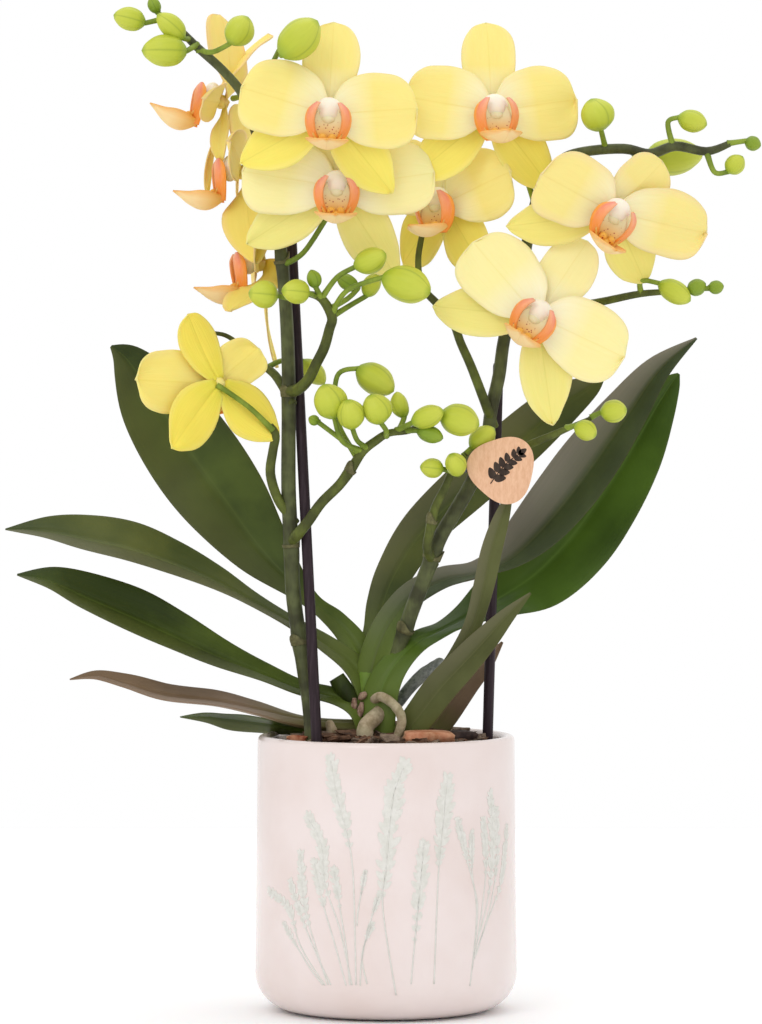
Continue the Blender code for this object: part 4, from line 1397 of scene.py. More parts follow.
@dataclass
class Crown:
    """The short stem that the leaves clasp, with an old leaf's stub, in millimetres."""

    route: Sequence[Row]
    stub: Sequence[Row]
    scars: Sequence[Row]

    def build(self) -> None:
        """Builds the stem, the cut stub beside it and the dry scars on it in one piece."""
        parts = [paint(tube("crown_core", smooth_rows(self.route, 5), 6), CROWN_SKIN),
                 paint(tube("cut_leaf_stub", smooth_rows(self.stub, 5), 5), STUB_SKIN)]
        for number, rows in enumerate(self.scars):
            parts.append(paint(tube(f"scar_{number}", smooth_rows(rows, 4)), SCAR_SKIN))
        install(join("crown", parts), "crown", "crown_stem")


@dataclass
class Root:
    """An aerial root along its route: x, y, z and radius in mm."""

    name: str
    rows: Sequence[Row]
    skin: Finish
    unevenness: float = 0.09

    def build(self) -> None:
        """Builds the root with an uneven skin and a rounded end."""
        seed = seed_of(self.name)
        uneven = [(*row[:3], row[3] * (1.0 + self.unevenness * noise.noise(Vector((i * 0.35, seed, 0.0)))))
                  for i, row in enumerate(smooth_rows(self.rows, 8))]
        root = tube(self.name + "_skin", round_end(uneven, (0.5, 0.85, 0.98)), 5)
        install(paint(root, self.skin), "aerial_root", self.name)


# --------------------------------------------------------------------------- flowers


class Outline(Enum):
    """Half widths along a tepal, from its claw to its tip."""

    PETAL = ((0.0, 0.32), (0.08, 0.52), (0.18, 0.76), (0.32, 0.92), (0.5, 0.99), (0.66, 1.0),
             (0.8, 0.93), (0.9, 0.77), (0.965, 0.50), (1.0, 0.0))
    DORSAL = ((0.0, 0.34), (0.1, 0.52), (0.26, 0.80), (0.46, 0.98), (0.62, 1.0), (0.78, 0.92),
              (0.9, 0.71), (0.97, 0.41), (1.0, 0.0))
    SEPAL = ((0.0, 0.34), (0.1, 0.54), (0.24, 0.82), (0.42, 1.0), (0.6, 0.97), (0.77, 0.76),
             (0.89, 0.47), (0.96, 0.25), (1.0, 0.0))


@dataclass(frozen=True)
class TepalPlan:
    """One tepal in its flower: way in degrees from +X, length, sweep back and half width.

    After them come its outline, how far back it sits, how much it cups, and how far its
    upper edge's widest place lies beyond its lower edge's.
    """

    angle: float
    length: float
    sweep: float
    half_width: float
    outline: Outline
    depth: float
    cup: float
    skew: float


TEPALS = {
    "dorsal": TepalPlan(90, 35, 8, 10.8, Outline.DORSAL, 3.0, -0.6, 0.02),
    "petal_right": TepalPlan(9, 35, 3, 14.6, Outline.PETAL, 0.0, 1.0, 0.08),
    "petal_left": TepalPlan(171, 35, 3, 14.6, Outline.PETAL, 0.0, 1.0, -0.08),
    "sepal_right": TepalPlan(-48, 39, 9, 10.2, Outline.SEPAL, 3.4, -0.6, 0.05),
    "sepal_left": TepalPlan(-132, 39, 9, 10.2, Outline.SEPAL, 3.4, -0.6, -0.05),
}


class Tint(Enum):
    """Petal and sepal finish of a flower, by its age; the side flowers' golden tint is deeper yellow and
    partly painted shade.
    """

    CLEAR = (TepalTissue(),
             TepalTissue("sepal_tissue", "#DFD04E", "#F2E26A", "#F1E288", "#C6BC3C", 0.25))
    PALE = (TepalTissue("pale_petal_tissue", "#F7F1D8", "#F4E9A4", "#F3E5AC", "#E6D680"),
            TepalTissue("pale_sepal_tissue", "#E0D66C", "#EDE286", "#ECE09A", "#CCC454", 0.25))
    PEACH = (TepalTissue("peach_petal_tissue", "#F6EECA", "#F1E08C", "#EFD8A0", "#E1CA72"),
             TepalTissue("peach_sepal_tissue", "#DED064", "#EDE07C", "#EADC8E", "#CABE50", 0.25))
    # Side flowers: a deeper, darker yellow, partly their own colour and partly painted shade.
    GOLDEN = (TepalTissue("shaded_golden_petal_tissue", "#EFD668", "#F3DC80", "#F3D09A", "#E0C25A"),
              TepalTissue("shaded_golden_sepal_tissue", "#E2CE54", "#EBD66C", "#EDD08C", "#D0BC4A", 0.25))
    VIVID = (TepalTissue("vivid_petal_tissue", "#F2E38C", "#F3E07A", "#F1E08E", "#E2CC4E"),
             TepalTissue("vivid_sepal_tissue", "#E6D84E", "#F2DE5C", "#F0DE78", "#CCBC3C", 0.25))


DEEP_KEEL = 1.0
SHALLOW_KEEL = 0.6
CLAW = 1.2          # how far from the flower's middle a tepal starts, mm
TEPAL_THICKNESS = 0.55
LIP_THICKNESS = 0.7

# The flower's back, mm: x, y, z, radius.
RECEPTACLE = [(0, 4.4, -0.5, 1.5), (0, 3.2, -0.3, 2.2), (0, 1.6, 0, 2.9), (0, -0.6, 0.2, 2.6),
              (0, -2.0, 0.4, 1.6)]

LIP_LOBE = LobeTissue()
LIP_BOAT_INNER = SpottedTissue("lip_inner_tissue", "#E8A23A", "#EFD2A4", "#B8502A", 0.16)
LIP_BOAT_OUTER = TepalTissue("lip_outer_tissue", "#E9AC4A", "#F4D59C", "#EDA84C", "#E4B070", 0.55)
LIP_THROAT = SpottedTissue("lip_throat_tissue", "#E8AC48", "#E6DFB2", "#A8402A", 0.17)
CALLUS_SKIN = SpottedTissue("callus_tissue", "#E59C34", "#E8AC46", "#A03A26", 0.26)
COLUMN_SKIN = TepalTissue("column_tissue", "#E2DDB0", "#F5EDDA", "#F7E2D8", "#EEDCC6", 0.5)
ANTHER_SKIN = CloudedTissue("anther_tissue", "#ECE6C0", "#E2D9A8", 320.0)

# Column, anther cap and the three knobs of the callus, mm: middle, then half width, depth and height.
KNOBS = (("column", (0.0, -3.3, 1.4), (5.4, 3.5, 5.2), COLUMN_SKIN),
         ("anther", (0.0, -5.5, -1.7), (2.7, 1.3, 1.8), ANTHER_SKIN),
         ("callus", (-1.8, -9.6, -8.8), (1.6, 1.7, 1.7), CALLUS_SKIN),
         ("callus", (1.8, -9.6, -8.8), (1.6, 1.7, 1.7), CALLUS_SKIN),
         ("callus", (0.0, -9.4, -10.4), (2.4, 2.2, 1.8), CALLUS_SKIN))

# A side lobe, mm: x, y, z of its middle line, and half width.
LOBE = [(2.6, -6.2, -11.6, 1.6), (4.9, -6.8, -9.0, 2.3), (6.5, -7.2, -5.2, 2.6),
        (6.9, -7.6, -1.2, 2.7), (5.9, -8.0, 2.2, 2.3), (3.6, -8.2, 4.6, 0.5)]

# The boat-shaped middle lobe, mm: y, z of its keel, half width, and height of its walls.
BOAT = [(-5.0, -10.4, 3.2, 0.8), (-8.0, -13.2, 6.4, 3.6), (-11.5, -15.0, 8.2, 6.2),
        (-15.5, -14.8, 7.2, 6.4), (-19.5, -12.8, 4.2, 4.2), (-22.8, -10.2, 1.7, 1.9),
        (-25.4, -8.2, 0.15, 0.05)]
BOAT_RIM = -9.6


@dataclass
class Flower:
    """An open flower: where it is, how it faces, and how it differs from the plan.

    Its keel is the share of the full depth that its lip's boat has.
    """

    name: str
    centre: Row
    facing: Row
    tint: Tint
    changes: dict[str, Row]
    keel: float

    def frame(self) -> Matrix:
        """Gives the flower's own frame: +Z to its dorsal sepal, looking along -Y."""
        azimuth, elevation, roll = (math.radians(v) for v in self.facing)
        turn = (Matrix.Rotation(azimuth, 4, "Z") @ Matrix.Rotation(-elevation, 4, "X")
                @ Matrix.Rotation(roll, 4, "Y"))
        return Matrix.Translation(Vector(self.centre) * MM) @ turn

    def build(self) -> None:
        """Builds the tepals on their receptacle, and the column with the lip."""
        place = self.frame()
        petal, sepal = self.tint.value
        parts = []
        for key, plan in TEPALS.items():
            change = self.changes.get(key, ())
            values = (*change, *(plan.angle, plan.length, plan.sweep, plan.half_width, 0.0)[len(change):])
            strong = "sepal" in key or (key == "dorsal" and self.tint is Tint.VIVID)
            parts.append(paint(self.tepal(key, plan, values), sepal if strong else petal))
        parts.append(paint(tube("receptacle", smooth_rows(RECEPTACLE, 4)), petal))
        for piece, slot, node in ((join(self.name + "_tepals", parts), "tepal", self.name),
                                  (self.lip(), "lip", self.name + "_lip")):
            piece.data.transform(place)
            piece.data.update()
            install(piece, slot, node)

    def tepal(self, key: str, plan: TepalPlan, values: Row) -> bpy.types.Object:
        """Shapes one tepal in the flower's frame.

        Args:
            key: Which tepal it is.
            plan: Its plan.
            values: Angle, length, sweep, half width and twist for this flower.

        Returns:
            The tepal as a thin closed blade.
        """
        angle, length, sweep, half_width, twist = values
        way = Vector((math.cos(math.radians(angle)), 0.0, math.sin(math.radians(angle))))
        flat = Vector((-way.z, 0.0, way.x))
        slope = math.tan(math.radians(sweep))
        seed = seed_of(self.name + key)
        is_petal = plan.outline is Outline.PETAL
        outline = plan.outline.value
        ruffle = 2.2 if is_petal else 1.1

        def place(across: float, along: float) -> Vector:
            s = 2.0 * across - 1.0
            part = math.sin(along * math.pi / 2.0)
            shifted = part + plan.skew * s * 4.0 * part * (1.0 - part)
            width = width_at(outline, min(max(shifted, 0.0), 1.0))
            run = CLAW + (length - CLAW) * part
            lift = plan.cup * s * s * width * min(part * 2.0, 1.0) + 0.9 * part ** 4
            lift += ruffle * noise.noise(Vector((s * 1.3, part * 2.3, seed * 0.37))) * part
            lift += 0.7 * math.exp(-(s / 0.09) ** 2) * (1.0 - part) * (1.0 if is_petal else -1.0)
            edge = 1.0 + 0.14 * noise.noise(Vector((s * 0.8, part * 2.8, seed))) * part
            turn = math.radians(twist) * min(part * 2.5, 1.0)
            side = flat * math.cos(turn) + DEPTHWISE * math.sin(turn)
            upper = DEPTHWISE * math.cos(turn) - flat * math.sin(turn)
            middle = way * run + DEPTHWISE * (plan.depth + slope * run * part)
            return (middle + side * (s * width * half_width * edge) + upper * lift) * MM

        return thicken(sheet(key, 22, 26, place), TEPAL_THICKNESS * MM)

    def lip(self) -> bpy.types.Object:
        """Builds the column and the lip in the flower's frame.

        Returns:
            Column, throat, side lobes, callus and boat-shaped middle lobe in one object.
        """
        knobs = [self.knob(*row) for row in KNOBS]
        parts = [*knobs[:2], self.throat(), self.boat(), *knobs[2:]]
        parts += [self.side_lobe(hand) for hand in (-1, 1)]
        return join(self.name + "_lip_and_column", parts)

    @staticmethod
    def knob(name: str, centre: Row, scale: Row, skin: Finish) -> bpy.types.Object:
        """Shapes a sphere to one fleshy knob.

        Args:
            name: Name of the new object.
            centre: Its middle in mm.
            scale: Its half width, depth and height in mm.
            skin: Its finish.

        Returns:
            The knob, smooth shaded.
        """
        piece = ball(name, Vector(centre), 24, 14, scale)
        settle(piece)
        return paint(soften(piece), skin)

    @staticmethod
    def throat() -> bpy.types.Object:
        """Cups the lip's base under the column, between the side lobes."""
        def place(across: float, along: float) -> Vector:
            s = 2.0 * across - 1.0
            half = 2.8 + 3.2 * math.sin(math.pi * min(along * 0.8 + 0.1, 1.0))
            z = 2.0 - 13.4 * (1.0 - along)
            y = -4.0 - 4.0 * (1.0 - along) - 1.8 * s * s
            return Vector((s * half, y, z)) * MM

        return paint(thicken(sheet("throat", 14, 14, place), 0.6 * MM), LIP_THROAT)

    @staticmethod
    def side_lobe(hand: int) -> bpy.types.Object:
        """Shapes one upright side lobe, curved like a bracket round the column.

        Args:
            hand: -1 for the left lobe and 1 for the right.

        Returns:
            The lobe as a thin closed blade.
        """
        spine = smooth_rows(LOBE, 4)
        last = len(spine) - 1

        def place(across: float, along: float) -> Vector:
            x, y, z, half = spine[round(along * last)]
            s = 2.0 * across - 1.0
            bulge = 0.9 * (1.0 - s * s)
            return Vector((hand * (x - 0.62 * s * half + bulge), y - 0.78 * s * half, z)) * MM

        return paint(thicken(sheet("side_lobe", 12, last, place), LIP_THICKNESS * MM), LIP_LOBE)

    def boat(self) -> bpy.types.Object:
        """Shapes the middle lobe: a keeled boat that runs forward to an upturned tip."""
        spine = smooth_rows(BOAT, 4)
        last = len(spine) - 1

        def place(across: float, along: float) -> Vector:
            y, z, half, wall = spine[round(along * last)]
            s = 2.0 * across - 1.0
            height = (z - BOAT_RIM + wall * abs(s) ** 1.8) * self.keel
            return Vector((s * half, y, BOAT_RIM + height)) * MM

        piece = thicken(sheet("boat", 20, last, place), LIP_THICKNESS * MM, lining=1)
        return paint(piece, LIP_BOAT_OUTER, LIP_BOAT_INNER)


# Stem routes, mm: x, y, z, radius.
SPIKES = {
    "spike_left": [
        (-29, -18, 98, 3.0), (-29, -18, 110, 3.0), (-30, -17.5, 122, 3.0), (-32, -17, 135, 3.0),
        (-36, -17, 162, 3.0), (-37, -18, 183, 3.0), (-38, -18, 205, 2.9), (-38, -18, 228, 2.8),
        (-38, -18, 251, 2.7), (-39, -18, 275, 2.6), (-41, -18, 298, 2.5), (-44, -20, 321, 2.3),
        (-50, -24, 342, 2.1), (-55, -27, 357, 1.9), (-63, -29, 367, 1.8), (-73, -31, 376, 1.7),
        (-80, -32, 383, 1.4), (-86, -33, 388, 1.1)],
    "spike_right": [
        (-4, 0, 118, 2.4), (-1, -3, 130, 2.5), (5, -6.5, 143, 2.8), (11, -11, 160, 3.1),
        (16, -13, 173, 3.1), (21, -14, 186, 3.0), (28, -15, 198, 2.9), (34, -15, 209, 2.8),
        (39, -15, 222, 2.7),
        (41, -15, 236, 2.6), (44, -14, 249, 2.6), (46, -13, 263, 2.5), (50, -13, 279, 2.4),
        (54, -14, 296, 2.3), (57, -16, 312, 2.2), (61, -19, 325, 2.1), (68, -22, 333, 2.0),
        (77, -25, 336, 2.0), (92, -27, 337, 2.0), (102, -27, 335, 2.0), (112, -27, 338, 1.9),
        (124, -27, 336, 1.7), (133, -27, 339, 1.3)],
}

# Side branch routes, mm: x, y, z, radius.  Each starts on its spike and is drawn back into it.
STEM_ROOT = 0.35    # by this share of its first step
BRANCHES = {
    "branch_left_upper": [
        (-38, -19, 243, 2.2), (-34, -24, 244, 2.3), (-30, -27, 248, 2.2), (-27, -28, 254, 2.1),
        (-24, -29, 260, 2.1), (-22, -30, 267, 2.0), (-21, -31, 272, 2.0), (-25, -33, 279, 1.7),
        (-31, -34, 281, 1.1)],
    "branch_left_lower": [
        (-37, -18, 184, 2.2), (-34, -24, 188, 2.2), (-30, -26, 193, 2.1), (-25, -27, 200, 2.0),
        (-18, -28, 207, 2.0), (-13, -30, 214, 1.9), (-9, -31, 220, 1.8), (-4, -32, 224, 1.7),
        (1, -33, 227, 1.5), (9, -34, 228, 1.3), (15, -34, 231, 1.1)],
    "branch_left_low_twig": [
        (-37, -18, 194, 1.9), (-42, -20, 201, 1.9), (-45, -21, 211, 1.9), (-44, -22, 220, 1.8),
        (-43, -23, 226, 1.7), (-45, -24, 230, 1.2)],
    "branch_left_high_twig": [
        (-38, -18, 241, 1.8), (-43, -12, 249, 1.8), (-48, -8, 253, 1.4), (-52, -6, 256, 1.2),
        (-57, -5, 261, 1.0), (-63, -5, 265, 0.9), (-69, -7, 266, 0.8)],
    "branch_right_upper": [
        (41, -15, 232, 2.0), (38, -19, 240, 1.9), (33, -18, 253, 1.8), (29, -18, 262, 1.7),
        (26, -18, 270, 1.7), (20, -18, 277, 1.6), (14, -16, 284, 1.4), (12.5, -13, 294, 1.3),
        (14, -12, 304, 1.2)],
    "branch_right_inner": [
        (18, -14, 177, 2.0), (16, -20, 182, 1.9), (17, -22, 189, 1.8), (19, -23, 198, 1.7),
        (23, -24, 206, 1.6), (26, -25, 213, 1.4), (31, -25, 219, 1.1)],
    "branch_right_front": [
        (40, -15, 222, 1.7), (44, -20, 220, 1.7), (50, -22, 220, 1.7), (57, -24, 223, 1.6),
        (64, -28, 226, 1.5), (73, -31, 230, 1.1), (80, -32, 233, 0.9)],
    "branch_right_outer": [
        (50, -13, 275, 1.8), (60, -10, 275, 1.7), (72, -12, 276, 1.7), (84, -18, 278, 1.6),
        (99, -22, 281, 1.4), (114, -24, 282, 1.0), (121, -24, 283, 0.8)],
}

# Heights of the joints with bracts, mm.
JOINTS = {
    "spike_left": (145.0, 181.0, 240.0, 294.0),
    "spike_right": (150.0, 179.0, 221.0, 276.0),
    "branch_left_lower": (212.0,),
    "branch_right_inner": (192.0,),
}

# Buds, mm: the stem each grows on, its stalk's route, its tip and its radius.
BUDS = [
    ("spike_left", [(-85, -33, 387), (-93, -35, 385)], (-105, -37, 388), 4.4),
    ("spike_left", [(-73, -31, 377), (-77, -38, 374)], (-94, -42, 374), 6.0),
    ("spike_left", [(-76, -31, 379), (-78, -37, 379)], (-88, -41, 388), 4.2),
    ("spike_left", [(-85, -33, 387), (-88, -33, 389)], (-91, -33, 395), 2.4),
    ("spike_left", [(-73, -31, 375), (-67, -33, 374), (-60, -38, 377)], (-53, -41, 387), 5.6),
    ("spike_left", [(-53, -26, 351), (-44, -36, 369), (-39, -50, 377), (-40, -60, 371)],
     (-26, -63, 384), 7.0),
    ("branch_left_upper", [(-30, -34, 281), (-36, -34, 279), (-42, -36, 280)], (-53, -40, 281), 5.2),
    ("branch_left_upper", [(-27, -33, 280), (-30, -39, 281)], (-40, -45, 282), 4.6),
    ("branch_left_upper", [(-25, -33, 279), (-27, -38, 283)], (-29, -39, 290), 2.8),
    ("branch_left_upper", [(-25, -33, 279), (-19, -37, 287), (-12, -40, 291)], (0, -44, 296), 4.8),
    ("branch_left_upper", [(-21, -31, 273), (-15, -38, 282), (-1, -43, 287)], (17, -50, 281), 6.8),
    ("branch_left_upper", [(-22, -32, 275), (-15, -26, 279), (-11, -24, 283)], (-19, -22, 288), 3.0),
    ("branch_left_upper", [(-21, -31, 272), (-13, -25, 277), (-8, -23, 280)], (-3, -22, 289), 3.4),
    ("branch_left_lower", [(-9, -31, 220), (-17, -36, 224), (-20, -38, 233)], (-24, -41, 246), 6.4),
    ("branch_left_lower", [(-7, -31, 221), (-11, -37, 224), (-13, -41, 229)], (-15, -46, 240), 5.2),
    ("branch_left_lower", [(0, -33, 226), (0, -38, 228), (-2, -40, 231)], (-6, -44, 242), 5.6),
    ("branch_left_lower", [(-11, -30, 217), (-19, -26, 232), (-19, -24, 249), (-11, -24, 252)],
     (3, -26, 243), 5.8),
    ("branch_left_lower", [(5, -33, 228), (7, -28, 233)], (4, -25, 243), 3.4),
    ("branch_left_lower", [(4, -33, 228), (10, -40, 231)], (22, -43, 236), 4.2),
    ("branch_left_lower", [(8, -34, 228), (12, -38, 228)], (22, -40, 225), 3.2),
    ("branch_left_lower", [(14, -34, 230), (21, -36, 234)], (36, -38, 230), 6.0),
    ("branch_left_lower", [(-10, -31, 219), (-18, -31, 225), (-26, -32, 231)], (-30, -32, 233), 2.0),
    ("branch_left_high_twig", [(-47, -9, 252), (-41, -4, 255), (-33, -1, 255)], (-24, -1, 246), 4.0),
    ("spike_right", [(85, -26, 337), (83, -31, 344)], (79, -34, 356), 6.4),
    ("spike_right", [(111, -27, 338), (109, -28, 347), (113, -29, 349)], (124, -31, 346), 4.2),
    ("spike_right", [(124, -27, 336), (127, -28, 328), (132, -28, 328)], (138, -29, 334), 3.7),
    ("spike_right", [(132, -27, 339), (139, -27, 340)], (145, -28, 338), 2.8),
    ("spike_right", [(95, -27, 337), (97, -21, 334), (101, -16, 333)], (124, -8, 336), 7.0),
    ("branch_right_outer", [(99, -22, 281), (99, -22, 286), (106, -24, 285)], (118, -27, 278), 4.3),
    ("branch_right_outer", [(113, -24, 282), (117, -24, 282)], (124, -25, 285), 3.2),
    ("branch_right_outer", [(120, -24, 283), (125, -24, 283)], (131, -25, 284), 2.6),
    ("branch_right_front", [(70, -30, 229), (73, -35, 230)], (81, -38, 226), 3.8),
    ("branch_right_front", [(79, -32, 233), (83, -32, 235)], (93, -35, 236), 4.3),
    ("branch_right_inner", [(26, -25, 212), (22, -31, 213)], (13, -33, 214), 3.7),
    ("branch_right_inner", [(27, -25, 214), (28, -31, 211)], (25, -37, 219), 4.0),
    ("branch_right_inner", [(30, -25, 218), (33, -24, 221)], (42, -24, 229), 4.4),
]

# Leaves, mm: fold in degrees, tone, then x, y, z, half width and roll in degrees.
LEAVES = {
    "leaf_left_1": (10, LeafTone.GREEN, [
        (-7, 1, 122, 6, 20), (-8.5, 1, 133, 6.2, 20), (-12.5, 3, 143.5, 5.6, 20), (-20, 7, 152.5, 4.4, 18),
        (-31, 12, 161.5, 3.9, 10), (-49, 18, 180, 12, 5),
        (-64, 24, 200, 17.5, 0), (-78, 30, 219, 18.5, 0), (-92, 34, 239, 15.5, 5),
        (-103, 36, 255, 7.5, 10), (-110, 36, 261, 0.6, 10)]),
    "leaf_left_2": (18, LeafTone.MOSSY, [
        (-6, -2, 114, 6.5, 40), (-8, -2, 125, 6.8, 42), (-14, -3, 135, 6.2, 46), (-24, -4, 143, 5.6, 52),
        (-38, -6, 152, 4.6, 60), (-53, -7, 160.5, 5.8, 62),
        (-67, -8, 168, 8.6, 60), (-83, -9, 175, 12, 58), (-100, -10, 181, 14.2, 58),
        (-118, -10, 185, 12.6, 58), (-133, -10, 188, 8, 58), (-149, -10, 189, 0.6, 58)]),
    "leaf_left_3": (18, LeafTone.GREEN, [
        (-8, -9, 103, 5.5, 30), (-8, -9, 111, 6, 36), (-12, -9, 118.5, 5.8, 42), (-20, -8, 122.5, 5.2, 50),
        (-34, -8, 126, 5, 55),
        (-48, -12, 132, 6.4, 56), (-65, -16, 139, 9.4, 55), (-82, -20, 147, 12.4, 55),
        (-99, -23, 155, 14.2, 55), (-117, -26, 163, 12, 55), (-130, -28, 169, 7.5, 55),
        (-143, -30, 172, 0.6, 55)]),
    "leaf_left_4": (14, LeafTone.BRONZE, [
        (-10, -4, 111, 3.5, 60), (-32, -8, 113, 4, 65), (-50, -16, 118, 7, 72),
        (-66, -24, 122, 9, 72), (-86, -32, 125, 9, 70), (-101, -36, 130, 6, 65),
        (-112, -38, 133, 3.5, 60), (-122, -40, 132, 0.5, 60)]),
    "leaf_left_5": (14, LeafTone.GREEN, [
        (-10, 5, 111, 3.5, -40), (-26, 9, 110, 4, -50), (-39, 13, 111, 5.6, -55), (-51, 17, 112, 6.6, -55),
        (-62, 20, 113, 6.2, -55), (-72, 22, 114, 4, -55), (-82, 23, 113.5, 0.5, -55)]),
    "leaf_right_1": (14, LeafTone.MOSSY, [
        (-5, 3, 124, 6, -15), (-5, 5, 137, 6.2, -15), (-3, 8, 149, 6, -15), (-1, 13, 159, 6.8, -15),
        (4, 19, 171, 8, -20),
        (15, 25, 187.5, 9.6, -22), (33.5, 31, 205, 11, -22), (53, 37, 222, 11.2, -20),
        (70, 41, 237, 9, -15), (82, 43, 245, 4.6, -10), (88, 44, 251, 0.6, -10)]),
    "leaf_right_2": (22, LeafTone.DUSKY, [
        (-6, -3, 120, 6.5, -20), (-5, -3, 133, 7, -22), (-1, -2, 146, 6.8, -26), (5, 1, 156, 6.6, -30),
        (12, 3, 163, 6.5, -35), (23, 6, 168, 7, -50),
        (36, 9, 170.5, 7.4, -62), (48.5, 10, 176, 9.6, -48), (59.5, 10, 186, 12.6, -35),
        (71.5, 11, 200, 14.2, -30), (83.5, 12, 216, 14, -30), (96, 13, 234, 11, -30),
        (108, 14, 251, 6.5, -30), (123, 16, 264, 0.6, -30)]),
    "leaf_right_3": (10, LeafTone.FRESH, [
        (-3, -10, 106, 7, -20), (-3, -11, 117, 7.8, -22), (-0.5, -11, 128, 7.4, -28),
        (5, -9.5, 137, 6.4, -36),
        (13, -5.5, 144.5, 6, -45),
        (23, 1, 149, 6, -60), (33, 8, 154, 8, -50), (45, 16, 161, 12, -30),
        (59, 23, 170, 16.5, -15), (73, 27, 184, 18, -10), (85, 29, 200, 17, -8),
        (97, 31, 218, 14, -8), (107, 33, 235, 9, -8), (114, 34, 246, 4, -8),
        (117, 34, 250, 0.6, -8)]),
    "leaf_right_4": (10, LeafTone.OLIVE, [
        (11, -9, 114, 3, 0), (20, -11, 129, 3, 0), (28, -14, 141, 3.2, 0), (34, -17, 153, 3.6, 10),
        (38, -19, 168, 4.4, 15), (41, -21, 182, 4.4, 15), (45, -23, 195, 3.2, 15),
        (49, -25, 206, 0.5, 15)]),
    "leaf_right_5": (8, LeafTone.OLIVE, [
        (7, -14, 108, 5.5, -20), (13, -17, 116, 6.5, -20), (21, -20, 127, 6.8, -20),
        (30, -23, 137, 6.4, -20), (39, -26, 147, 5.2, -20), (47, -28, 156, 3.3, -20),
        (56, -30, 165, 0.5, -20)]),
    "leaf_right_6": (8, LeafTone.BRONZE, [
        (17, 8, 108, 6, -10), (23, 7, 117, 6.8, -10), (31, 7, 127, 5.6, -10),
        (39, 8, 135, 3.4, -10), (46, 9, 144, 0.5, -10)]),
}

# Short stem that the leaves clasp, mm: x, y, z, radius.
CROWN = [(-4, 0, 96, 7.5), (-4, 0, 106, 8.0), (-5, 0, 116, 8.2), (-6.5, 0, 126, 7.6),
         (-7.5, 1, 133, 5.6), (-7, 2, 138, 3.0)]

# Stub of a cut leaf and the dry scars beside it, mm: x, y, z, radius.
STUB = [(-9, -5, 115, 2.2), (-13, -6, 121, 3.2), (-17, -7, 127, 3.6), (-19.5, -7, 131, 3.2)]
SCARS = [[(-13, -10, 117, 0.9), (-12.6, -10.5, 120, 1.3), (-12.4, -10, 123, 0.8)],
         [(-10.5, -11, 115, 0.8), (-10, -11.4, 118.5, 1.4), (-9.4, -11, 121.5, 0.7)],
         [(-10.5, -11, 122.5, 0.7), (-9.2, -11.6, 124, 1.5), (-7.8, -11.2, 125, 0.8)]]

SILVER_ROOT = RoughSkin("dry_velamen", "#A9ABA6", "#6F7470", "#8D8F80", 520.0, 0.0005)

# Aerial roots, mm: skin, then x, y, z, radius.
ROOTS = {
    "root_thick": (RoughSkin(), [(-1, -9, 119, 3.0), (-4, -14, 116, 3.2), (-8, -18, 112, 3.3),
                                 (-8, -19, 106, 3.2)]),
    "root_arched": (RoughSkin(), [(-5, -10, 122, 1.9), (-2, -17, 124, 1.9), (3, -20, 121, 1.9),
                                  (6, -21, 116, 1.9), (5, -20, 110, 1.8), (3, -20, 105.5, 1.8)]),
    "root_silver": (SILVER_ROOT, [(3, 2, 118, 2.2), (9, 1, 126, 2.4), (15, 1, 132, 2.5),
                                  (21, 1, 136, 2.2)]),
    "root_silver_short": (SILVER_ROOT, [(5, 3, 110, 1.8), (10, 2, 118, 1.8), (14, 2, 123, 1.5)]),
    "root_stub": (RoughSkin(), [(-21, -14, 105.2, 2.0), (-21, -14, 109.5, 2.2), (-22, -14, 113.0, 1.8)]),
}

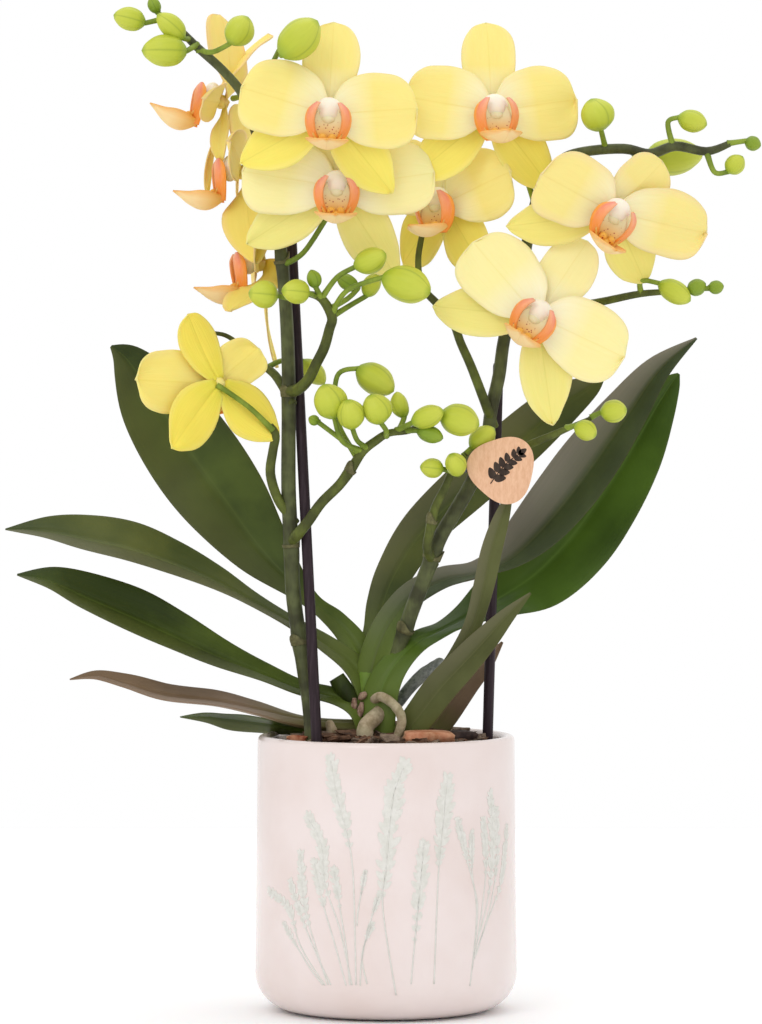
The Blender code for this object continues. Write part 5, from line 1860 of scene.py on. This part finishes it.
# Open flowers, mm and degrees: centre, azimuth, elevation, roll, tint, and tepals that differ
# from the plan in their first values.
FLOWERS = {
    "flower_01": ((-22, -52, 349), (0, -4, 3), Tint.CLEAR, {
        "petal_right": (7, 34), "petal_left": (166, 35), "sepal_left": (-148, 39)}),
    "flower_02": ((-19, -36, 322), (0, -6, 2), Tint.PALE, {
        "petal_right": (10, 38), "petal_left": (173, 37), "sepal_left": (-145, 42),
        "sepal_right": (-55, 43)}),
    "flower_03": ((41, -34, 351), (14, 2, 0), Tint.CLEAR, {"sepal_left": (-140, 39)}),
    "flower_04": ((87, -44, 312), (12, -18, 28), Tint.PEACH, {
        "dorsal": (70, 27), "petal_right": (15, 40, 3, 13.4), "petal_left": (182, 32),
        "sepal_left": (-139, 40), "sepal_right": (-32, 36)}),
    "flower_05": ((58, -42, 272), (-4, 2, 33), Tint.PALE, {
        "petal_right": (8, 37), "petal_left": (164, 38), "sepal_left": (-153, 41),
        "sepal_right": (-49, 42)}),
    "flower_06": ((22, -16, 316), (-34, 0, -6), Tint.CLEAR, {
        "petal_right": (16, 32), "petal_left": (140, 33), "sepal_left": (-143, 34),
        "sepal_right": (-66, 33)}),
    "flower_07": ((-66, 2, 357), (-84, 16, -4), Tint.GOLDEN, {
        "dorsal": (93, 33, -20, 11, 52), "petal_left": (112, 36, 20, 6, -24),
        "petal_right": (-10, 27, -16, 8.5, 10), "sepal_right": (-78, 24, 8, 6, 28),
        "sepal_left": (-125, 40, 4, 9, -8)}),
    "flower_08": ((-58, 0, 329), (-84, 2, -4), Tint.GOLDEN, {
        "dorsal": (95, 27, -8, 9, 38), "petal_right": (20, 27, -14, 10, 14),
        "petal_left": (160, 28, 4), "sepal_right": (-78, 37, 6, 11, 62),
        "sepal_left": (-125, 30, 10)}),
    "flower_09": ((-51, 8, 293), (-80, -2, -4), Tint.GOLDEN, {
        "dorsal": (90, 31, 10, 10, 35), "petal_right": (25, 30, -10, 11, 18),
        "petal_left": (165, 32, 4), "sepal_right": (-48, 25, -34, 11.5, 76),
        "sepal_left": (-112, 43, 6, 9, -6)}),
    "flower_10": ((-66, -24, 246), (-148, -8, 12), Tint.VIVID, {
        "dorsal": (72, 30, 8, 8.5), "petal_right": (14, 37, 3, 12.5), "petal_left": (152, 20, 20, 9.5),
        "sepal_right": (-32, 38), "sepal_left": (-121, 31)}),
}

# Stalks of the open flowers, mm: the stem each grows on and the route to the flower's back.
FLOWER_STALKS = {
    "flower_01": ("spike_left", [(-49, -23, 337), (-38, -33, 343), (-27, -46, 347)]),
    "flower_02": ("spike_left", [(-41, -18, 292), (-32, -24, 297), (-22, -30, 312)]),
    "flower_03": ("spike_right", [(58, -16, 316), (52, -19, 332), (44, -25, 344)]),
    "flower_04": ("spike_right", [(71, -23, 334), (80, -31, 325), (85, -37, 316)]),
    "flower_05": ("spike_right", [(49, -13, 275), (53, -22, 276), (57, -33, 273)]),
    "flower_07": ("spike_left", [(-55, -27, 356), (-55, -14, 358), (-60, 1, 358)]),
    "flower_08": ("spike_left", [(-45, -21, 325), (-45, -10, 327), (-52, 0, 329)]),
    "flower_09": ("spike_left", [(-40, -18, 283), (-39, -5, 286), (-45, 7, 292)]),
    "flower_10": ("branch_left_low_twig", [(-44, -24, 228), (-52, -27, 236), (-60, -28.5, 242),
                                           (-65.5, -28, 245.5)]),
}

# Stakes, mm: from inside the bark to the head.
STAKES = {
    "stake_left": [(-25.6, -28.6, 80), (-27, -26, 108), (-38, -6, 322)],
    "stake_right": [(39.3, 1, 80), (40, 0, 108), (44, -6, 255)],
}


# --------------------------------------------------------------------------- stakes, tag, studio


@dataclass
class Stake:
    """A moulded support stake with a rounded head, in millimetres."""

    name: str
    route: Sequence[Row]
    radius: float = 2.1

    def build(self) -> None:
        """Builds the stake with its head rounded over one radius."""
        end, before = Vector(self.route[-1]), Vector(self.route[-2])
        shoulder = end - (end - before).normalized() * self.radius
        body = round_end([(*point, self.radius) for point in (*self.route[:-1], shoulder)],
                         (0.4, 0.7, 0.9, 0.99))
        piece = paint(tube(self.name + "_rod", body, 6), MouldedPlastic())
        install(piece, "stake_plastic", self.name)


@dataclass
class PlantTag:
    """An egg-shaped kraft card with a printed sprig of no maker's, in millimetres."""

    centre: tuple[float, float] = (45.0, 213.0)
    face: float = -29.5
    thickness: float = 0.8
    radius: float = 12.8
    swell: float = 1.1
    swell_turn: float = 48.0
    edge: float = 0.12
    stem_proud: float = 0.04
    leaf_proud: float = 0.06

    def build(self) -> None:
        """Builds the card and its print."""
        install(self.card(), "tag_card", "plant_tag")
        install(self.sprig(), "tag_card")

    def card(self) -> bpy.types.Object:
        """Cuts the card from a disc and rounds its cut edge slightly."""
        clear_selection()
        bpy.ops.mesh.primitive_circle_add(vertices=96, radius=self.radius * MM, fill_type="NGON",
                                          rotation=(math.pi / 2, 0.0, 0.0))
        piece = take("tag_card")
        settle(piece)
        for vert in piece.data.vertices:
            turn = math.atan2(vert.co.z, vert.co.x)
            reach = self.radius + self.swell * math.cos(3.0 * (turn - math.radians(self.swell_turn)))
            vert.co = Vector((self.centre[0] + reach * math.cos(turn), self.face,
                              self.centre[1] + reach * math.sin(turn))) * MM
        with editing(piece):
            bpy.ops.mesh.select_all(action="SELECT")
            bpy.ops.mesh.extrude_region_move(
                TRANSFORM_OT_translate={"value": (0.0, self.thickness * MM, 0.0)})
            face_outwards()
            bpy.ops.mesh.select_mode(type="EDGE")
            pick(piece, "edges", lambda e: len(e.link_faces) == 2 and e.calc_face_angle() > 1.0)
            bpy.ops.mesh.bevel(offset=self.edge * MM, segments=2, affect="EDGES")
        choose(piece)
        bpy.ops.object.shade_smooth_by_angle(angle=math.radians(40))
        return paint(piece, KraftCard())

    def sprig(self) -> bpy.types.Object:
        """Prints a generic leafy sprig on the card, a hair proud of it."""
        x0, z0 = self.centre
        stem = smooth_rows([(x0 - 4.6, z0 - 5.6), (x0 - 1.4, z0 - 1.2), (x0 + 2.2, z0 + 2.8),
                            (x0 + 6.4, z0 + 5.8)], 6)
        parts = [tube("print_stem", [(x, self.face - self.stem_proud, z, 0.22) for x, z in stem], 1)]
        leaf = flat_leaf("print_leaf", 14, 0.837, 0.434, 0.0, self.leaf_proud)
        places = []
        for i in range(3, len(stem), 3):
            lean = math.degrees(math.atan2(stem[i][0] - stem[i - 1][0], stem[i][1] - stem[i - 1][1]))
            places += [self.leaf_place(stem[i], lean + side, 5.0 - 0.11 * i) for side in (-58.0, 52.0)]
        places.append(self.leaf_place(stem[-1], 55.0, 3.6))
        parts.append(scatter("print_leaves", leaf, places))
        piece = join("tag_print", parts)
        return paint(piece, MouldedPlastic("printing_ink", "#3B302A", "#4A3E36", 0.7))

    def leaf_place(self, spot: Row, turn: float, size: float) -> Matrix:
        """Places one printed leaf.

        Args:
            spot: Its foot's x and z in mm.
            turn: Degrees that it leans over.
            size: Its length in mm.

        Returns:
            The place of the leaf on the card.
        """
        x, z = spot
        return (Matrix.Translation(Vector((x, self.face - self.leaf_proud, z)) * MM)
                @ Matrix.Rotation(math.radians(turn), 4, "Y") @ Matrix.Diagonal((size, 1.0, size, 1.0)))


# Soft lights: name, place and width in metres, power in watts.
SOFT_BOXES = (("key", (-0.8, -1.7, 1.6), 0.9, 7.0), ("top", (0.1, 0.3, 1.7), 1.2, 4.0))
PLANT_MIDDLE = Vector((0.0, 0.0, 0.22))


@dataclass
class Studio:
    """Pale floor, soft light all round, two soft boxes and the camera, in metres and degrees."""

    distance: float = 2.0
    side: float = -0.002
    height: float = 0.248
    tilt: float = 1.5
    view_height: float = 0.402432
    sensor: float = 36.0
    floor_size: float = 1.6
    floor_gap: float = 0.0004

    def build(self) -> None:
        """Builds the whole set."""
        self.floor()
        self.lights()
        self.camera()
        bpy.context.scene.view_settings.view_transform = "Standard"

    def floor(self) -> None:
        """Lays the floor just under the pot."""
        clear_selection()
        bpy.ops.mesh.primitive_plane_add(size=self.floor_size, location=(0.0, 0.0, -self.floor_gap))
        floor = take("studio_floor")
        settle(floor)
        paint(floor, CloudedTissue("painted_board", "#FDFDFD", "#FAFAFA", 3.0, 0.75))

    def lights(self) -> None:
        """Hangs the lights: even white surroundings and two soft boxes aimed at the plant."""
        world = bpy.data.worlds.new("studio_world")
        world.use_nodes = True
        world.node_tree.nodes["Background"].inputs["Color"].default_value = linear(WHITE)
        bpy.context.scene.world = world
        for name, place, size, power in SOFT_BOXES:
            light = bpy.data.lights.new(name + "_light", "AREA")
            light.size = size
            light.energy = power
            lamp = bpy.data.objects.new(name + "_light", light)
            lamp.location = place
            lamp.rotation_euler = (PLANT_MIDDLE - Vector(place)).to_track_quat("-Z", "Y").to_euler()
            bpy.context.collection.objects.link(lamp)

    def camera(self) -> None:
        """Sets the camera before the plant, with no shift and no depth of field."""
        data = bpy.data.cameras.new("studio_camera")
        data.sensor_fit = "VERTICAL"
        data.sensor_height = self.sensor
        data.lens = self.distance / self.view_height * self.sensor
        data.clip_end = 30.0
        camera = bpy.data.objects.new("studio_camera", data)
        camera.location = (self.side, -self.distance, self.height)
        camera.rotation_euler = (math.radians(90.0 - self.tilt), 0.0, 0.0)
        bpy.context.collection.objects.link(camera)
        bpy.context.scene.camera = camera


# --------------------------------------------------------------------------- the plant


FRAME_FINISHES = {
    "growing_pot": MouldedPlastic("thermoformed_plastic", "#3A2C27", "#4A3A33", 0.5),
    "tag_clip": MouldedPlastic("clip_plastic", "#2F2A2C", "#453F42", 0.4),
}


def plant_stems() -> list[Stem]:
    """Sets out both spikes and their side branches with what grows on them.

    Returns:
        One stem for each route.
    """
    stems = []
    for name, route in {**SPIKES, **BRANCHES}.items():
        if name in BRANCHES:
            start, after = Vector(route[0][:3]), Vector(route[1][:3])
            route = [(*(start + (start - after) * STEM_ROOT), route[0][3]), *route]
        stems.append(Stem(
            name, route, SPIKE_SKIN if name in SPIKES else TWIG_SKIN,
            [Bud(tuple(stalk), tip, radius) for stem, stalk, tip, radius in BUDS if stem == name],
            [stalk for stem, stalk in FLOWER_STALKS.values() if stem == name],
            JOINTS.get(name, ())))
    return stems


def dress_frame_nodes() -> None:
    """Gives the frame nodes that stay their moulded plastic."""
    for name, finish in FRAME_FINISHES.items():
        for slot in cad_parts[name].material_slots:
            slot.material = finish.make()


def main() -> None:
    """Builds the studio and every piece in order."""
    logging.basicConfig(level=logging.INFO, format="%(name)s %(message)s")
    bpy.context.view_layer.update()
    Studio().build()
    dress_frame_nodes()
    Cachepot().build()
    BarkFill().build()
    for name, route in STAKES.items():
        Stake(name, route).build()
    Crown(CROWN, STUB, SCARS).build()
    for name, (fold, tone, rows) in LEAVES.items():
        Leaf(name, fold, rows, tone).build()
    for name, (skin, rows) in ROOTS.items():
        Root(name, rows, skin).build()
    for stem in plant_stems():
        stem.build()
    for name, (centre, facing, tint, changes) in FLOWERS.items():
        keel = DEEP_KEEL if tint is Tint.GOLDEN else SHALLOW_KEEL
        Flower(name, centre, facing, tint, changes, keel).build()
    PlantTag().build()


if __name__ == "__main__":
    main()
